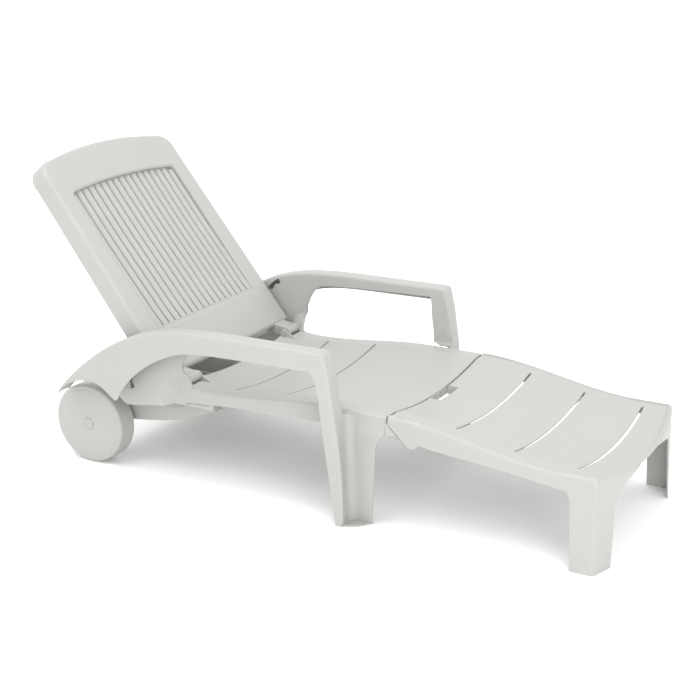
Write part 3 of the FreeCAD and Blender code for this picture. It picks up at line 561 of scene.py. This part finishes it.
def ring_columns(rear, xs):
    """Columns of the outer wall: base point, outward direction, lower edge, leg flag and lower shift."""
    knee = [X_END + at for at in (-84, -78, -72, -68, -65, -62.4, -60.6, -60)]
    lug = [FOLD_PIN.x + d for d in (-57, -47, -38, -28, -18.8, -16, -11, -5, 0, 5, 11, 16, 18.8)]
    side = [x for x in xs if x < knee[0] - 6 and all(abs(x - m) > 3.5 for m in lug)]
    side = sorted([rear] + side + lug + knee)
    side += [X_END - 50, X_END - 38, X_END - 26, X_END - 15]
    columns = []
    for x in side:
        leg = x >= X_END - 60.01
        shift = P(8.0 * max(0.0, 1.0 - (x - X_END + 60) / 45.0), 0, 0) if leg else P(0, 0, 0)
        low = 173.0 if leg else side_low(x)
        columns.append((P(x, -(FOOT_HALF - EDGE), 0), P(0, -1, 0), low, leg, shift))
    corner = P(X_END - EDGE + bow_at(FOOT_HALF - EDGE), -(FOOT_HALF - EDGE), 0)
    lean = math.degrees(math.atan2(2 * BOW, FOOT_HALF))
    for turn in (0, 20, 40, 60, 90 - lean):
        t = math.radians(turn)
        columns.append((corner, P(math.sin(t), -math.cos(t), 0), 173.0, True, P(0, 0, 0)))
    front = [262, 248, 235, 224, 213, 205, 202]
    for y in front:
        shift = P(0, 22.0 * -max(0.0, 1.0 - (y - 202) / 62.0), 0)
        columns.append((front_base(-y), front_out(-y), 175.0, True, shift))
    for y in (201, 199, 196, 191, 183, 170, 150, 125, 95, 60, 30, 0):
        columns.append((front_base(-y), front_out(-y), apron_low(y), False, P(0, 0, 0)))
    others = []
    for base, out, low, leg, shift in reversed(columns[:-1]):
        flip = P(base.x, -base.y, base.z), P(out.x, -out.y, 0), low, leg, P(shift.x, -shift.y, 0)
        others.append(flip)
    return columns + others


def front_base(y):
    return P(X_END - EDGE + bow_at(y), y, 0)


def front_out(y):
    slope = 2 * BOW * y / FOOT_HALF ** 2
    return P(1.0, slope, 0).normalized()


def foot_ring(rear, xs):
    columns = ring_columns(rear, xs)
    rows = []
    tops = []
    for column in columns:
        base = column[0]
        on_end = base.x > X_END - EDGE - 1
        top = rail_height(base.x) - (dish(base.y, FOOT_HALF) if on_end else 0.0)
        tops.append(top)
    for turn in (0, 30, 60, 90):
        t = math.radians(turn)
        row = []
        for column, top in zip(columns, tops):
            p = column[0] + column[1] * EDGE * math.sin(t)
            row.append(P(p.x, p.y, top - EDGE * (1 - math.cos(t))))
        rows.append(row)
    for share in (0.25, 0.5, 0.75, 0.93, 1.0):
        rows.append([wall_point(c, mix(top - EDGE, c[2], share)) for c, top in zip(columns, tops)])
    upper = grid(rows, flip=False)
    legs = []
    for share in (0.0, 0.25, 0.5, 0.75, 0.96, 1.0):
        legs.append([wall_point(c, mix(c[2], 0.0, share), True) for c in columns])
    lower = grid(legs, lambda i, j: not (columns[j][3] and columns[j + 1][3]))
    return [upper, lower]


def wall_point(column, z, leaning=False):
    """A point of the foot section's outer wall, which drafts outwards going down."""
    base, out, low, _, shift = column
    p = base + out * (EDGE + DRAFT * max(0.0, 1.0 - z / FOOT_HEIGHT))
    if leaning:
        p = p + shift * (1.0 - z / low)
    return P(p.x, p.y, z)


def make_foot():
    body, slot = "foot_section", "moulded_plastic"
    make_piece("foot_shell", foot_sheets(), body, slot, ["foot_section"], thickness=WALL)
    bosses = both(plate(disc_outline(FOLD_PIN.x, FOLD_PIN.z, 19), FOOT_HALF - 6.8, FOOT_HALF - 1))
    make_piece("foot_bosses", bosses, body, slot, closed=True, bevel=0.5)
    ribs = [under_rib(X_END - FOOT_LENGTH * share, FOOT_HALF, 16) for share in (0.2, 0.45, 0.75)]
    make_piece("foot_ribs", ribs, body, slot, thickness=WALL, bevel=0.4)


# --- Arms ---------------------------------------------------------------------------------

ARM_INNER = 316.0
ARM_OUTER = 365.5
ARM_LEVEL = 314.8
WEB_TOP = 286.0
LUG_REACH = 148.0        # from the backrest's hinge to its recline lugs

# Each row: top edge, outer skirt's lower edge, inner skirt's lower edge, as x and z; the first
# part is measured from the hinge, the second from the fold line.
ARM_REAR = [
    (-368, 212.2, -356, 219.8, -356, 219.8), (-345, 240, -340, 234, -340, 234),
    (-317, 269.8, -318, 246.5, -318, 246.5), (-290, 293.5, -292, 256.5, -292, 256.5),
    (-262, 315.8, -262, 261.3, -262, 261.3), (-235, 336.5, -232, 259.2, -232, 259.2),
    (-208, 355.2, -207, 247.5, -207, 247.5), (-190, 366, -188.5, 234, -192, 222),
    (-178, 373.3, -175.5, 225.2, -180, 207), (-168, 378.6, -167.5, 221.6, -165, 199),
    (-157, 384.2, -160, 226.6, -148, 199), (-146, 389.8, -146.5, 249.5, -130, 201.5),
    (-120, 402.5, -128, 273.5, -110, 205.5), (-95, 413.8, -109.6, 293.8, -88, 209.3),
    (-67, 422.3, -86, 314, -62, 212.3), (-39.6, 430.1, -61.6, 332.2, -28, 215.3),
    (-15, 434.9, -37, 347.8, 8, 218.5), (12, 439.5, -11.7, 361, 27, 250),
    (37, 442.6, 14, 372.6, 19, 293), (62, 444.6, 39, 381.6, 21, 331),
    (88, 446.4, 66, 387.5, 32, 366), (118, 448.3, 100, 392.2, 52, 396),
    (160, 449.4, 148, 396, 92, 409), (219, 450.3, 219, 398, 200, 415.5),
    (300, 450.9, 300, 399.3, 300, 419.5), (364, 451.2, 364, 400.5, 364, 421.5),
]
ARM_FRONT = [
    (-205, 452.2, -205, 401.4, -205, 422.5), (-175, 452.8, -185, 402, -186, 423),
    (-160, 453, -180, 401.6, -181, 422.6), (-149, 453, -174.5, 400.6, -180, 420.5),
    (-141, 451.4, -170.5, 398.2, -179, 417), (-135.8, 446.6, -167, 394.6, -178, 412),
    (-132.6, 438, -164, 389, -177, 405), (-128.5, 421, -160, 379, -176, 393),
    (-121.5, 393, -154.5, 364, -175, 375), (-115.5, 352, -149, 341, -171, 343),
    (-109.5, ARM_LEVEL, -146, ARM_LEVEL, -167, ARM_LEVEL),
]


def arm_stations():
    rows = [tuple(v + (HINGE.x if k % 2 == 0 else 0) for k, v in enumerate(row)) for row in ARM_REAR]
    rows += [tuple(v + (X_FOLD if k % 2 == 0 else 0) for k, v in enumerate(row)) for row in ARM_FRONT]
    return refine(rows, 2)


def panel_y(x, z):
    """Inner panel: flat, but drawn in towards the seat rail at its lower front."""
    crease = HINGE.x + interp(z, [(215, -23), (243, -21), (265, -14), (292, -3), (308, 8)])
    inward = smooth((x - crease + 22.0) / 22.0) * smooth((318.0 - z) / 26.0)
    return ARM_INNER - 31.0 * inward


def arm_cover():
    """Hollow upper part of the left arm, open below."""
    rows = []
    lines = arm_stations()
    for i, (tx, tz, bx, bz, ix, iz) in enumerate(lines):
        before, after = lines[max(0, i - 1)], lines[min(len(lines) - 1, i + 1)]
        along = P(after[0] - before[0], 0, after[1] - before[1]).normalized()
        inward = P(along.z, 0, -along.x)
        top, low, inner = P(tx, 0, tz), P(bx, 0, bz), P(ix, 0, iz)
        r = min(9.0, 0.4 * (top - low).length)
        bead = min(1.0, (top - low).length / 60.0)
        row = []
        start = top + inward * r
        for share, out in ((0.0, 0.0), (0.05, 1.2), (0.11, 0.0), (0.4, 0.0), (0.7, 0.0), (1.0, 0.0)):
            p = low + (start - low) * share
            row.append(P(p.x, ARM_OUTER - 1.2 + out * bead, p.z))
        side = ARM_OUTER - 1.2
        for turn in (25, 45, 65, 90):
            t = math.radians(turn)
            p = top + inward * r * (1 - math.sin(t))
            row.append(P(p.x, side - r * (1 - math.cos(t)), p.z))
        for share, drop in ((0.25, 0.5), (0.5, 0.8), (0.75, 0.5)):
            y = mix(side - r, ARM_INNER + r, share)
            p = top - inward * drop
            row.append(P(p.x, y, p.z))
        for turn in (90, 65, 45, 25, 0):
            t = math.radians(turn)
            p = top + inward * r * (1 - math.sin(t))
            row.append(P(p.x, ARM_INNER + r * (1 - math.cos(t)), p.z))
        for share in (0.2, 0.4, 0.55, 0.7, 0.82, 0.92, 1.0):
            p = start + (inner - start) * share
            row.append(P(p.x, panel_y(p.x, p.z), p.z))
        rows.append(row)
    return grid(rows)


def leg_x(z):
    return X_FOLD - 93.7 - 15.8 * z / ARM_LEVEL


def leg_outer(z):
    return mix(344.0, ARM_OUTER - 1.2, z / ARM_LEVEL)


def web_front(z):
    return X_FOLD - interp(z, [(0, 37.7), (150, 31.4), (195, 29.4), (206, 28.4), (216, 26.6), (225, 23.4),
                               (233, 19), (239, 13), (243, 6), (300, 6)])


def post_twist(z):
    """How far the outer front edge stands forward of the inner one."""
    return 8.0 * math.sin(math.pi * z / ARM_LEVEL)


def web_at(z):
    """Inner web: it runs into the seat rail near its top."""
    return mix(292.0, 289.0, smooth((z - 240.0) / 30.0))


def arm_leg():
    """Middle leg and post: outer strip, cross wall and inner web, joined by a wide hollow round."""
    levels = [0, 3, 20, 60, 100, 140, 175, 195, 206, 216, 225, 233, 239, 243, 250, 260, 268, 274, 280]
    levels += [WEB_TOP, 289, 292, 296, 302, 308, ARM_LEVEL]
    rows = []
    for z in levels:
        x = leg_x(z)
        outer, twist = leg_outer(z), post_twist(z)
        width = mix(19.0, 37.0, z / ARM_LEVEL)
        strip = (x - width, x - width + 3, x - 14, x + twist - 8)
        row = [P(at, outer, z) for at in strip]
        for turn in (20, 45, 70, 90):
            t = math.radians(turn)
            row.append(P(x + twist - 8 + 8 * math.sin(t), outer - 8 * (1 - math.cos(t)), z))
        free = smooth((z - WEB_TOP + 2.0) / 9.0)
        inner = mix(web_at(z), ARM_INNER, smooth((z - WEB_TOP) / 7.0))
        hollow = mix(22.0, 3.0, free)
        row.append(P(x + twist * 0.5, mix(outer - 8, inner + hollow, 0.5), z))
        for turn in (0, 18, 36, 54, 72, 90):
            t = math.radians(turn)
            round_x = mix(x + hollow * (1 - math.cos(t)), x - 4 * (1 - math.cos(t)), free)
            row.append(P(round_x, inner + hollow * (1 - math.sin(t)), z))
        front = web_front(z)
        back = x - 4 - 52.0 * smooth((z - WEB_TOP) / 6.0)
        end = front if z <= WEB_TOP else back
        row += [P(mix(row[-1].x, end, share), inner, z) for share in (0.35, 0.7, 0.93, 1.0)]
        rows.append(row)
    web = [row[-5:] for row in rows]
    split = levels.index(WEB_TOP)
    body = grid([row[:-4] for row in rows], flip=True)
    return [body, grid(web[:split + 1], flip=True), grid(web[split + 1:], flip=False)]


def sole():
    """Triangular plate at the foot of the leg, with a curved lip."""
    x, web_y = leg_x(0), HALF + 4.0
    tip, end = (x - 1, 343.0), (X_FOLD - 38.5, web_y)
    outline = [(x - 1, web_y), tip]
    for i in range(1, 8):
        t = i / 8.0
        px, py = mix(tip[0], end[0], t), mix(tip[1], end[1], t)
        out = 30.0 * t * (1 - t)
        outline.append((px + out * 0.68, py + out * 0.73))
    outline.append(end)
    return swept([P(px, py, 0.0) for px, py in outline], P(0, 0, 4.5))


def recline_track():
    """Arc track for the recline lug with its resting notches, as a cutter."""
    def at(radius, degrees):
        t = math.radians(degrees)
        return HINGE.x - radius * math.cos(t), HINGE.z + radius * math.sin(t)
    low, high, half, end = -10.1, 56.9, 5.2, 2.4   # end angles, half width and run-out past each end
    outline = []
    for i in range(37):
        outline.append(at(LUG_REACH + half, mix(low - end, high + end, i / 36)))
    for i in range(73):
        degrees = mix(high + end, low - end, i / 72)
        share = ((degrees - low) / (high - low) * 6.0) % 1.0
        near = min(share, 1.0 - share) / 0.32
        notch = 4.0 * math.sqrt(1.0 - near * near) if near < 1.0 else 0.0
        outline.append(at(LUG_REACH - half - notch, degrees))
    return plate(outline, ARM_INNER - 12.0, ARM_INNER + 14.0)


def make_arms():
    slot = "moulded_plastic"
    cover, track = arm_cover(), recline_track()
    leg = arm_leg()
    profile = [(132, 294), (132, 322), (134, 328), (138, 331), (142, 328), (144, 322), (144, 294)]
    rib = [(X_FOLD - back, z) for back, z in profile]
    solids = [sole(), plate(rib, ARM_INNER - 3.0, ARM_INNER + 3.0)]
    screws = []
    front = [(X_FOLD - 62, FOLD_HEIGHT - 24), (X_FOLD - 24, FOLD_HEIGHT - 22)]
    for x, z in front + [(X_TAIL + 16, 240), (X_TAIL - 4, 232)]:
        screws.append(plate(disc_outline(x, z, 4.5, 24), 281.5, 284.5))
        screws.append(plate(disc_outline(x, z, 2.5, 16), 284.3, 288.2))
    for side, keep in (("left", lambda s: s), ("right", mirrored)):
        make_piece(side + "_arm_cover", [keep(cover)], "base", slot, [side + "_arm"], thickness=WALL,
                   cutters=[keep(track)])
        make_piece(side + "_arm_leg", [keep(s) for s in leg], "base", slot, thickness=4.0)
        make_piece(side + "_arm_details", [keep(s) for s in solids], "base", slot, closed=True, bevel=1.0)
        make_piece(side + "_arm_fixings", [keep(s) for s in screws], "base", "steel", [side + "_arm_screws"],
                   closed=True, bevel=0.3)


# --- Backrest -----------------------------------------------------------------------------

RECLINE = math.radians(51.6)
BACK_RISE = 36.9
BACK_SETBACK = 18.7
BACK_DEPTH = 51.0
BACK_BOTTOM_HALF = 300.0
BACK_TOP_HALF = 282.7
SHOULDER = 608.0         # where the sides end and the upper corners begin
BACK_CROWN = 689.0       # top of the arched upper edge
FIELD_LOW = 120.0
FIELD_TOP = 566.0
FIELD_HALF = 233.0
FIELD_CROWN = 14.0
SLATS = 17


def back_point(u, y, n):
    along, off = BACK_RISE + u, n - BACK_SETBACK
    x = HINGE.x - along * math.cos(RECLINE) + off * math.sin(RECLINE)
    return P(x, y, HINGE.z + along * math.sin(RECLINE) + off * math.cos(RECLINE))


def arc_points(a, b, c, count):
    """Points on the arc through three 2D points, ends included."""
    (ax, ay), (bx, by), (cx, cy) = a, b, c
    d = 2 * (ax * (by - cy) + bx * (cy - ay) + cx * (ay - by))
    sa, sb, sc = ax * ax + ay * ay, bx * bx + by * by, cx * cx + cy * cy
    ux = (sa * (by - cy) + sb * (cy - ay) + sc * (ay - by)) / d
    uy = (sa * (cx - bx) + sb * (ax - cx) + sc * (bx - ax)) / d
    r = math.hypot(ax - ux, ay - uy)
    start, end = math.atan2(ay - uy, ax - ux), math.atan2(cy - uy, cx - ux)
    turn = (end - start + math.pi) % (2 * math.pi) - math.pi
    turns = [start + turn * i / (count - 1) for i in range(count)]
    return [(ux + r * math.cos(t), uy + r * math.sin(t)) for t in turns]


def straight(a, b, count):
    return [(mix(a[0], b[0], i / count), mix(a[1], b[1], i / count)) for i in range(count)]


def mirrored_loop(low, shoulder, bend, corner, crown):
    """Closed outline, alike on both sides, from its points on the +y side."""
    right = straight(low, shoulder, 24) + arc_points(shoulder, bend, corner, 10)[:-1]
    top = arc_points(corner, crown, (corner[0], -corner[1]), 25)
    left = [(u, -y) for u, y in reversed(right)]
    bottom = straight((low[0], -low[1]), low, 20)
    return bottom + right + top + left[:-1]


def back_loop(inset):
    """Outer outline of the backrest as (u, y), moved inwards."""
    half = BACK_TOP_HALF - inset
    low = (inset, BACK_BOTTOM_HALF - inset)
    shoulder = (SHOULDER, half)
    bend = (SHOULDER + 44.0 - 0.7 * inset, half - 11 + 0.3 * inset)
    corner = (BACK_CROWN - 22.0 - inset, 237.7)
    crown = (BACK_CROWN - inset, 0.0)
    return mirrored_loop(low, shoulder, bend, corner, crown)


def field_loop(grow):
    """Outline of the slatted field as (u, y), grown outwards, with round upper corners."""
    half, radius = FIELD_HALF + grow, 20.0
    low = (FIELD_LOW - grow, half)
    shoulder = (FIELD_TOP + grow - radius, half)
    bend = (FIELD_TOP + grow - radius * 0.29 + 1, half - radius * 0.29)
    corner = (FIELD_TOP + grow + 1.8, half - radius)
    crown = (FIELD_TOP + FIELD_CROWN + grow, 0.0)
    return mirrored_loop(low, shoulder, bend, corner, crown)


def field_depth(u):
    return 0.6 + 6.9 * smooth((u - 118.0) / 332.0)


def groove(u):
    return 7.0 * smooth((u - FIELD_LOW + 8.0) / 90.0)


def back_frame():
    loops = []

    def add(loop, height):
        loops.append([back_point(u, y, height(u)) for u, y in loop])

    edge = 8.0
    add(back_loop(0.0), lambda u: -BACK_DEPTH)
    add(back_loop(0.0), lambda u: -BACK_DEPTH + 3)
    add(back_loop(0.0), lambda u: -30.0)
    for turn in (0, 22, 45, 68, 90):
        t = math.radians(turn)
        add(back_loop(edge * (1 - math.cos(t))), lambda u, t=t: -edge * (1 - math.sin(t)))
    outer, inner = back_loop(edge), field_loop(4.0)
    for share in (0.33, 0.66):
        between = [(mix(a[0], b[0], share), mix(a[1], b[1], share)) for a, b in zip(outer, inner)]
        add(between, lambda u: 0.0)
    for turn in (0, 30, 60, 90):
        t = math.radians(turn)
        add(field_loop(4.0 * (1 - math.sin(t))), lambda u, t=t: -min(3.5, field_depth(u)) * (1 - math.cos(t)))
    add(field_loop(0.0), lambda u: -field_depth(u) - groove(u))
    add(field_loop(-9.0), lambda u: -field_depth(u) - groove(u))
    return grid(loops, closed=True, flip=True)


def slat_top(y):
    return FIELD_TOP + FIELD_CROWN * (1 - (y / FIELD_HALF) ** 2)


def slats():
    """Round-topped slats, open between."""
    sheets = []
    pitch = 2 * FIELD_HALF / SLATS
    half = (pitch - 9.5) / 2
    section = [(-1.0, -2.0), (-1.0, -1.0), (-0.97, -0.74), (-0.88, -0.48), (-0.7, -0.25), (-0.38, -0.07)]
    section.append((0.0, 0.0))
    section += [(-s, n) for s, n in reversed(section[:-1])]
    for i in range(SLATS):
        centre = -FIELD_HALF + pitch * (i + 0.5)
        end = slat_top(centre) - 1.5
        if i in (0, SLATS - 1):
            end -= 7.0
        us = [FIELD_LOW + 3, FIELD_LOW + 10, FIELD_LOW + 22]
        us += [mix(FIELD_LOW + 40, end - 30, k / 14) for k in range(15)]
        us += [end - 16, end - 9, end - 4, end - 1, end]
        rows = []
        for u in us:
            fall = max(0.0, 1.0 - (end - u) / 7.0)
            face = -field_depth(u) - 3.5 * (1 - math.sqrt(max(0.0, 1 - fall * fall)))
            row = [back_point(u, centre + s * half, face + n * groove(u)) for s, n in section]
            row[0] = back_point(u, centre - half, -field_depth(u) - 19.0)
            row[-1] = back_point(u, centre + half, -field_depth(u) - 19.0)
            rows.append(row)
        sheets.append(grid(rows, flip=True))
    return sheets


def back_box(u0, u1, y0, y1, n0, n1):
    outline = [back_point(u, y0, n) for u, n in ((u0, n0), (u1, n0), (u1, n1), (u0, n1))]
    return swept(outline, P(0, y1 - y0, 0))


def back_plate(outline, y0, y1):
    return swept([back_point(u, y0, n) for u, n in outline], P(0, y1 - y0, 0))


def make_backrest():
    slot = "moulded_plastic"
    make_piece("backrest_frame", [back_frame()], "backrest", slot, ["backrest"], thickness=4.0)
    make_piece("backrest_slats", slats(), "backrest", slot, thickness=2.6, bevel=0.5)
    solids = []
    for share in (0.22, 0.5, 0.78):
        u = mix(FIELD_LOW, FIELD_TOP, share)
        solids.append(back_box(u, u + WALL, -FIELD_HALF - 1, FIELD_HALF + 1, -34, -22))
    for y in (-FIELD_HALF - 3, FIELD_HALF):
        solids.append(back_box(5, 606, y, y + 3, -34, -4.5))
    for u in (FIELD_LOW - 6, FIELD_TOP + FIELD_CROWN + 4):
        solids.append(back_box(u, u + 3, -FIELD_HALF, FIELD_HALF, -34, -4.5))
    for side in (1, -1):
        y0, y1 = sorted((side * 224.0, side * 276.0))
        solids.append(back_plate(disc_outline(-BACK_RISE, BACK_SETBACK, 15.0), y0, y1))
        ear = [(-BACK_RISE + 4, BACK_SETBACK + 14.8), (3, 0), (5, -34), (-8, -30)]
        ear.append((-BACK_RISE - 11, BACK_SETBACK - 10))
        solids.append(back_plate(ear, y0 + 0.3, y1 - 0.3))
        turn = math.radians(15.1)
        u = LUG_REACH * math.cos(turn) - BACK_RISE
        n = BACK_SETBACK - LUG_REACH * math.sin(turn)
        y0, y1 = sorted((side * 287.0, side * 314.5))
        solids.append(back_plate(disc_outline(u, n, 9.0, 24), y0, y1))
    make_piece("backrest_details", solids, "backrest", slot, closed=True, bevel=0.8)


# --- Rear beam ----------------------------------------------------------------------------

def beam_outline(inset):
    """Rear edge, floor and rising front of the tray, moved inwards, as (x, z)."""
    rear, low = AXLE.x - 24 + inset, AXLE.z - 8 + inset
    points = [(rear, 205.0), (rear, low + 60), (rear, low + 14), (rear + 4, low + 4), (rear + 14, low)]
    for dx, rise in ((20, 2.5), (80, 10.5), (140, 19), (200, 28.5)):
        points.append((AXLE.x + dx, low + rise))
    front = [(-60, 144), (-36, 150), (-12, 157.6), (10, 166), (32, 175.4), (57, 187), (78, 195.5), (93, 202)]
    points += [(HINGE.x + dx - inset / 2, z + inset) for dx, z in front]
    return points


def beam_sheets():
    half, radius = 240.0, 8.0
    rows = []
    for turn in (0, 22, 45, 68, 90):
        t = math.radians(turn)
        inset = radius * (1 - math.sin(t))
        rows.append([P(x, -(half - radius * (1 - math.cos(t))), z) for x, z in beam_outline(inset)])
    for y in (-150, -75, 0):
        rows.append([P(x, y, z) for x, z in beam_outline(0.0)])
    others = [[P(p.x, -p.y, p.z) for p in row] for row in reversed(rows[:-1])]
    rows += others
    sides = []
    edge = beam_outline(radius)
    for share in (0.0, 0.5, 1.0):
        sides.append([P(x, -half, mix(z, 222.0 if x > HINGE.x - 20 else 207.0, share)) for x, z in edge[1:]])
    side = grid(sides, flip=False)
    xs = [HINGE.x + dx for dx in range(-28, 97, 8)]
    flare = [[P(x, y, z) for x in xs] for y, z in ((-240, 204), (-268, 206), (-278, 208.5), (-282, 213))]
    flare.append([P(x, -284.0, skirt_low(x) + 1.5) for x in xs])
    low = [row[-1] for row in flare]
    cap = [low, [P(p.x, p.y, skirt_low(p.x) + 1.5) for p in low]]
    return [grid(rows, flip=True)] + both(side) + both(grid(flare)) + both(grid(cap))


def make_beam():
    slot = "moulded_plastic"
    make_piece("beam_tray", beam_sheets(), "base", slot, ["rear_beam"], thickness=WALL)
    solids = [plate(disc_outline(AXLE.x, AXLE.z, 13.0), -240, 240)]
    for y in (-120.0, 0.0, 120.0):
        outline = beam_outline(2.0)[1:] + [(HINGE.x + 90, 206), (HINGE.x - 14, 206)]
        outline += [(HINGE.x - 16, 200), (AXLE.x - 20, 200)]
        solids.append(plate(outline, y - 1.75, y + 1.75))
    solids += both(block(HINGE.x + 36, HINGE.x + 92, 234, 274, 210.5, 214))
    make_piece("beam_details", solids, "base", slot, closed=True, bevel=0.5)


# --- Wheels -------------------------------------------------------------------------------

def lathe(profile, count=96):
    """Turned about the axle; the profile is (radius, y)."""
    rows = []
    for radius, y in profile:
        turns = [2 * math.pi * i / count for i in range(count)]
        rows.append([P(AXLE.x + radius * math.cos(t), y, AXLE.z + radius * math.sin(t)) for t in turns])
    return grid(rows, closed=True)


def rounded_corner(cx, cy, radius, start, end, count=6):
    out = []
    for i in range(count):
        t = math.radians(mix(start, end, i / (count - 1)))
        out.append((cx + radius * math.cos(t), cy + radius * math.sin(t)))
    return out


def wheel_profile():
    """Half section of the left wheel: open inner side, tread and dished outer face."""
    r = AXLE.z
    profile = [(20.0, 253.0), (20.0, 306.0), (102.0, 306.0), (104.6, 303.0), (104.6, 254.5), (106.0, 253.0)]
    profile += rounded_corner(r - 2.5, 255.5, 2.5, -90, 0, 4)
    profile += [(r, 270.0), (r, 290.0)]
    profile += rounded_corner(r - 8.0, 305.0, 8.0, 0, 90, 8)
    profile += [(102.4, 313.0), (101.2, 312.3), (100.2, 312.0), (98.6, 312.0), (97.4, 312.4), (96.0, 313.0)]
    profile += [(70.0, 313.2), (40.0, 313.2), (24.0, 313.0), (18.6, 313.0), (17.4, 312.2), (17.4, 300.0)]
    profile += [(6.3, 300.0), (6.3, 253.0), (20.0, 253.0)]
    return profile


def make_wheels():
    wheel = lathe(wheel_profile())
    cap_profile = [(0.01, 307.0), (17.2, 307.0), (17.2, 312.8), (16.6, 313.6), (15.2, 313.8), (14.0, 313.3)]
    cap = lathe(cap_profile + [(13.2, 312.6), (6.0, 312.9), (0.01, 313.1)], 64)
    spokes = []
    for i in range(8):
        t = math.pi * i / 4
        cos, sin = math.cos(t), math.sin(t)
        corners = []
        for reach, aside in ((19.0, -1.5), (105.0, -1.5), (105.0, 1.5), (19.0, 1.5)):
            corners.append((AXLE.x + cos * reach - aside * sin, AXLE.z + sin * reach + aside * cos))
        spokes.append(plate(corners, 259.0, 307.0))
    for side, keep in (("left", lambda s: s), ("right", mirrored)):
        body, slot = side + "_wheel", "wheel_plastic"
        make_piece(side + "_wheel_turned", [keep(wheel)], body, slot, [side + "_wheel"],
                   closed=True, bevel=0.4)
        make_piece(side + "_wheel_ribs", [keep(s) for s in spokes], body, slot, closed=True, bevel=0.4)
        make_piece(side + "_cap_turned", [keep(cap)], body, "pin_plastic", [side + "_hub_cap"],
                   closed=True, bevel=0.2)


# --- Scene --------------------------------------------------------------------------------

make_camera()
make_stage()
MATERIALS = {
    "moulded_plastic": moulded("moulded_plastic", (0.385, 0.380, 0.366), 0.42, 900.0),
    "wheel_plastic": moulded("wheel_plastic", (0.39, 0.385, 0.371), 0.45, 700.0),
    "pin_plastic": moulded("pin_plastic", (0.38, 0.375, 0.361), 0.40, 1100.0),
    "steel": moulded("steel", (0.58, 0.58, 0.60), 0.32, 1400.0, 0.10, 1.0),
}
make_seat()
make_foot()
make_arms()
make_backrest()
make_beam()
make_wheels()
for part in frame["record"]["subparts"]:
    node = frame["nodes"][part["node"]]
    if not node.hide_render:
        node.data.materials.clear()
        node.data.materials.append(MATERIALS[part["material_slot"]])
        rounding(node, 0.3)
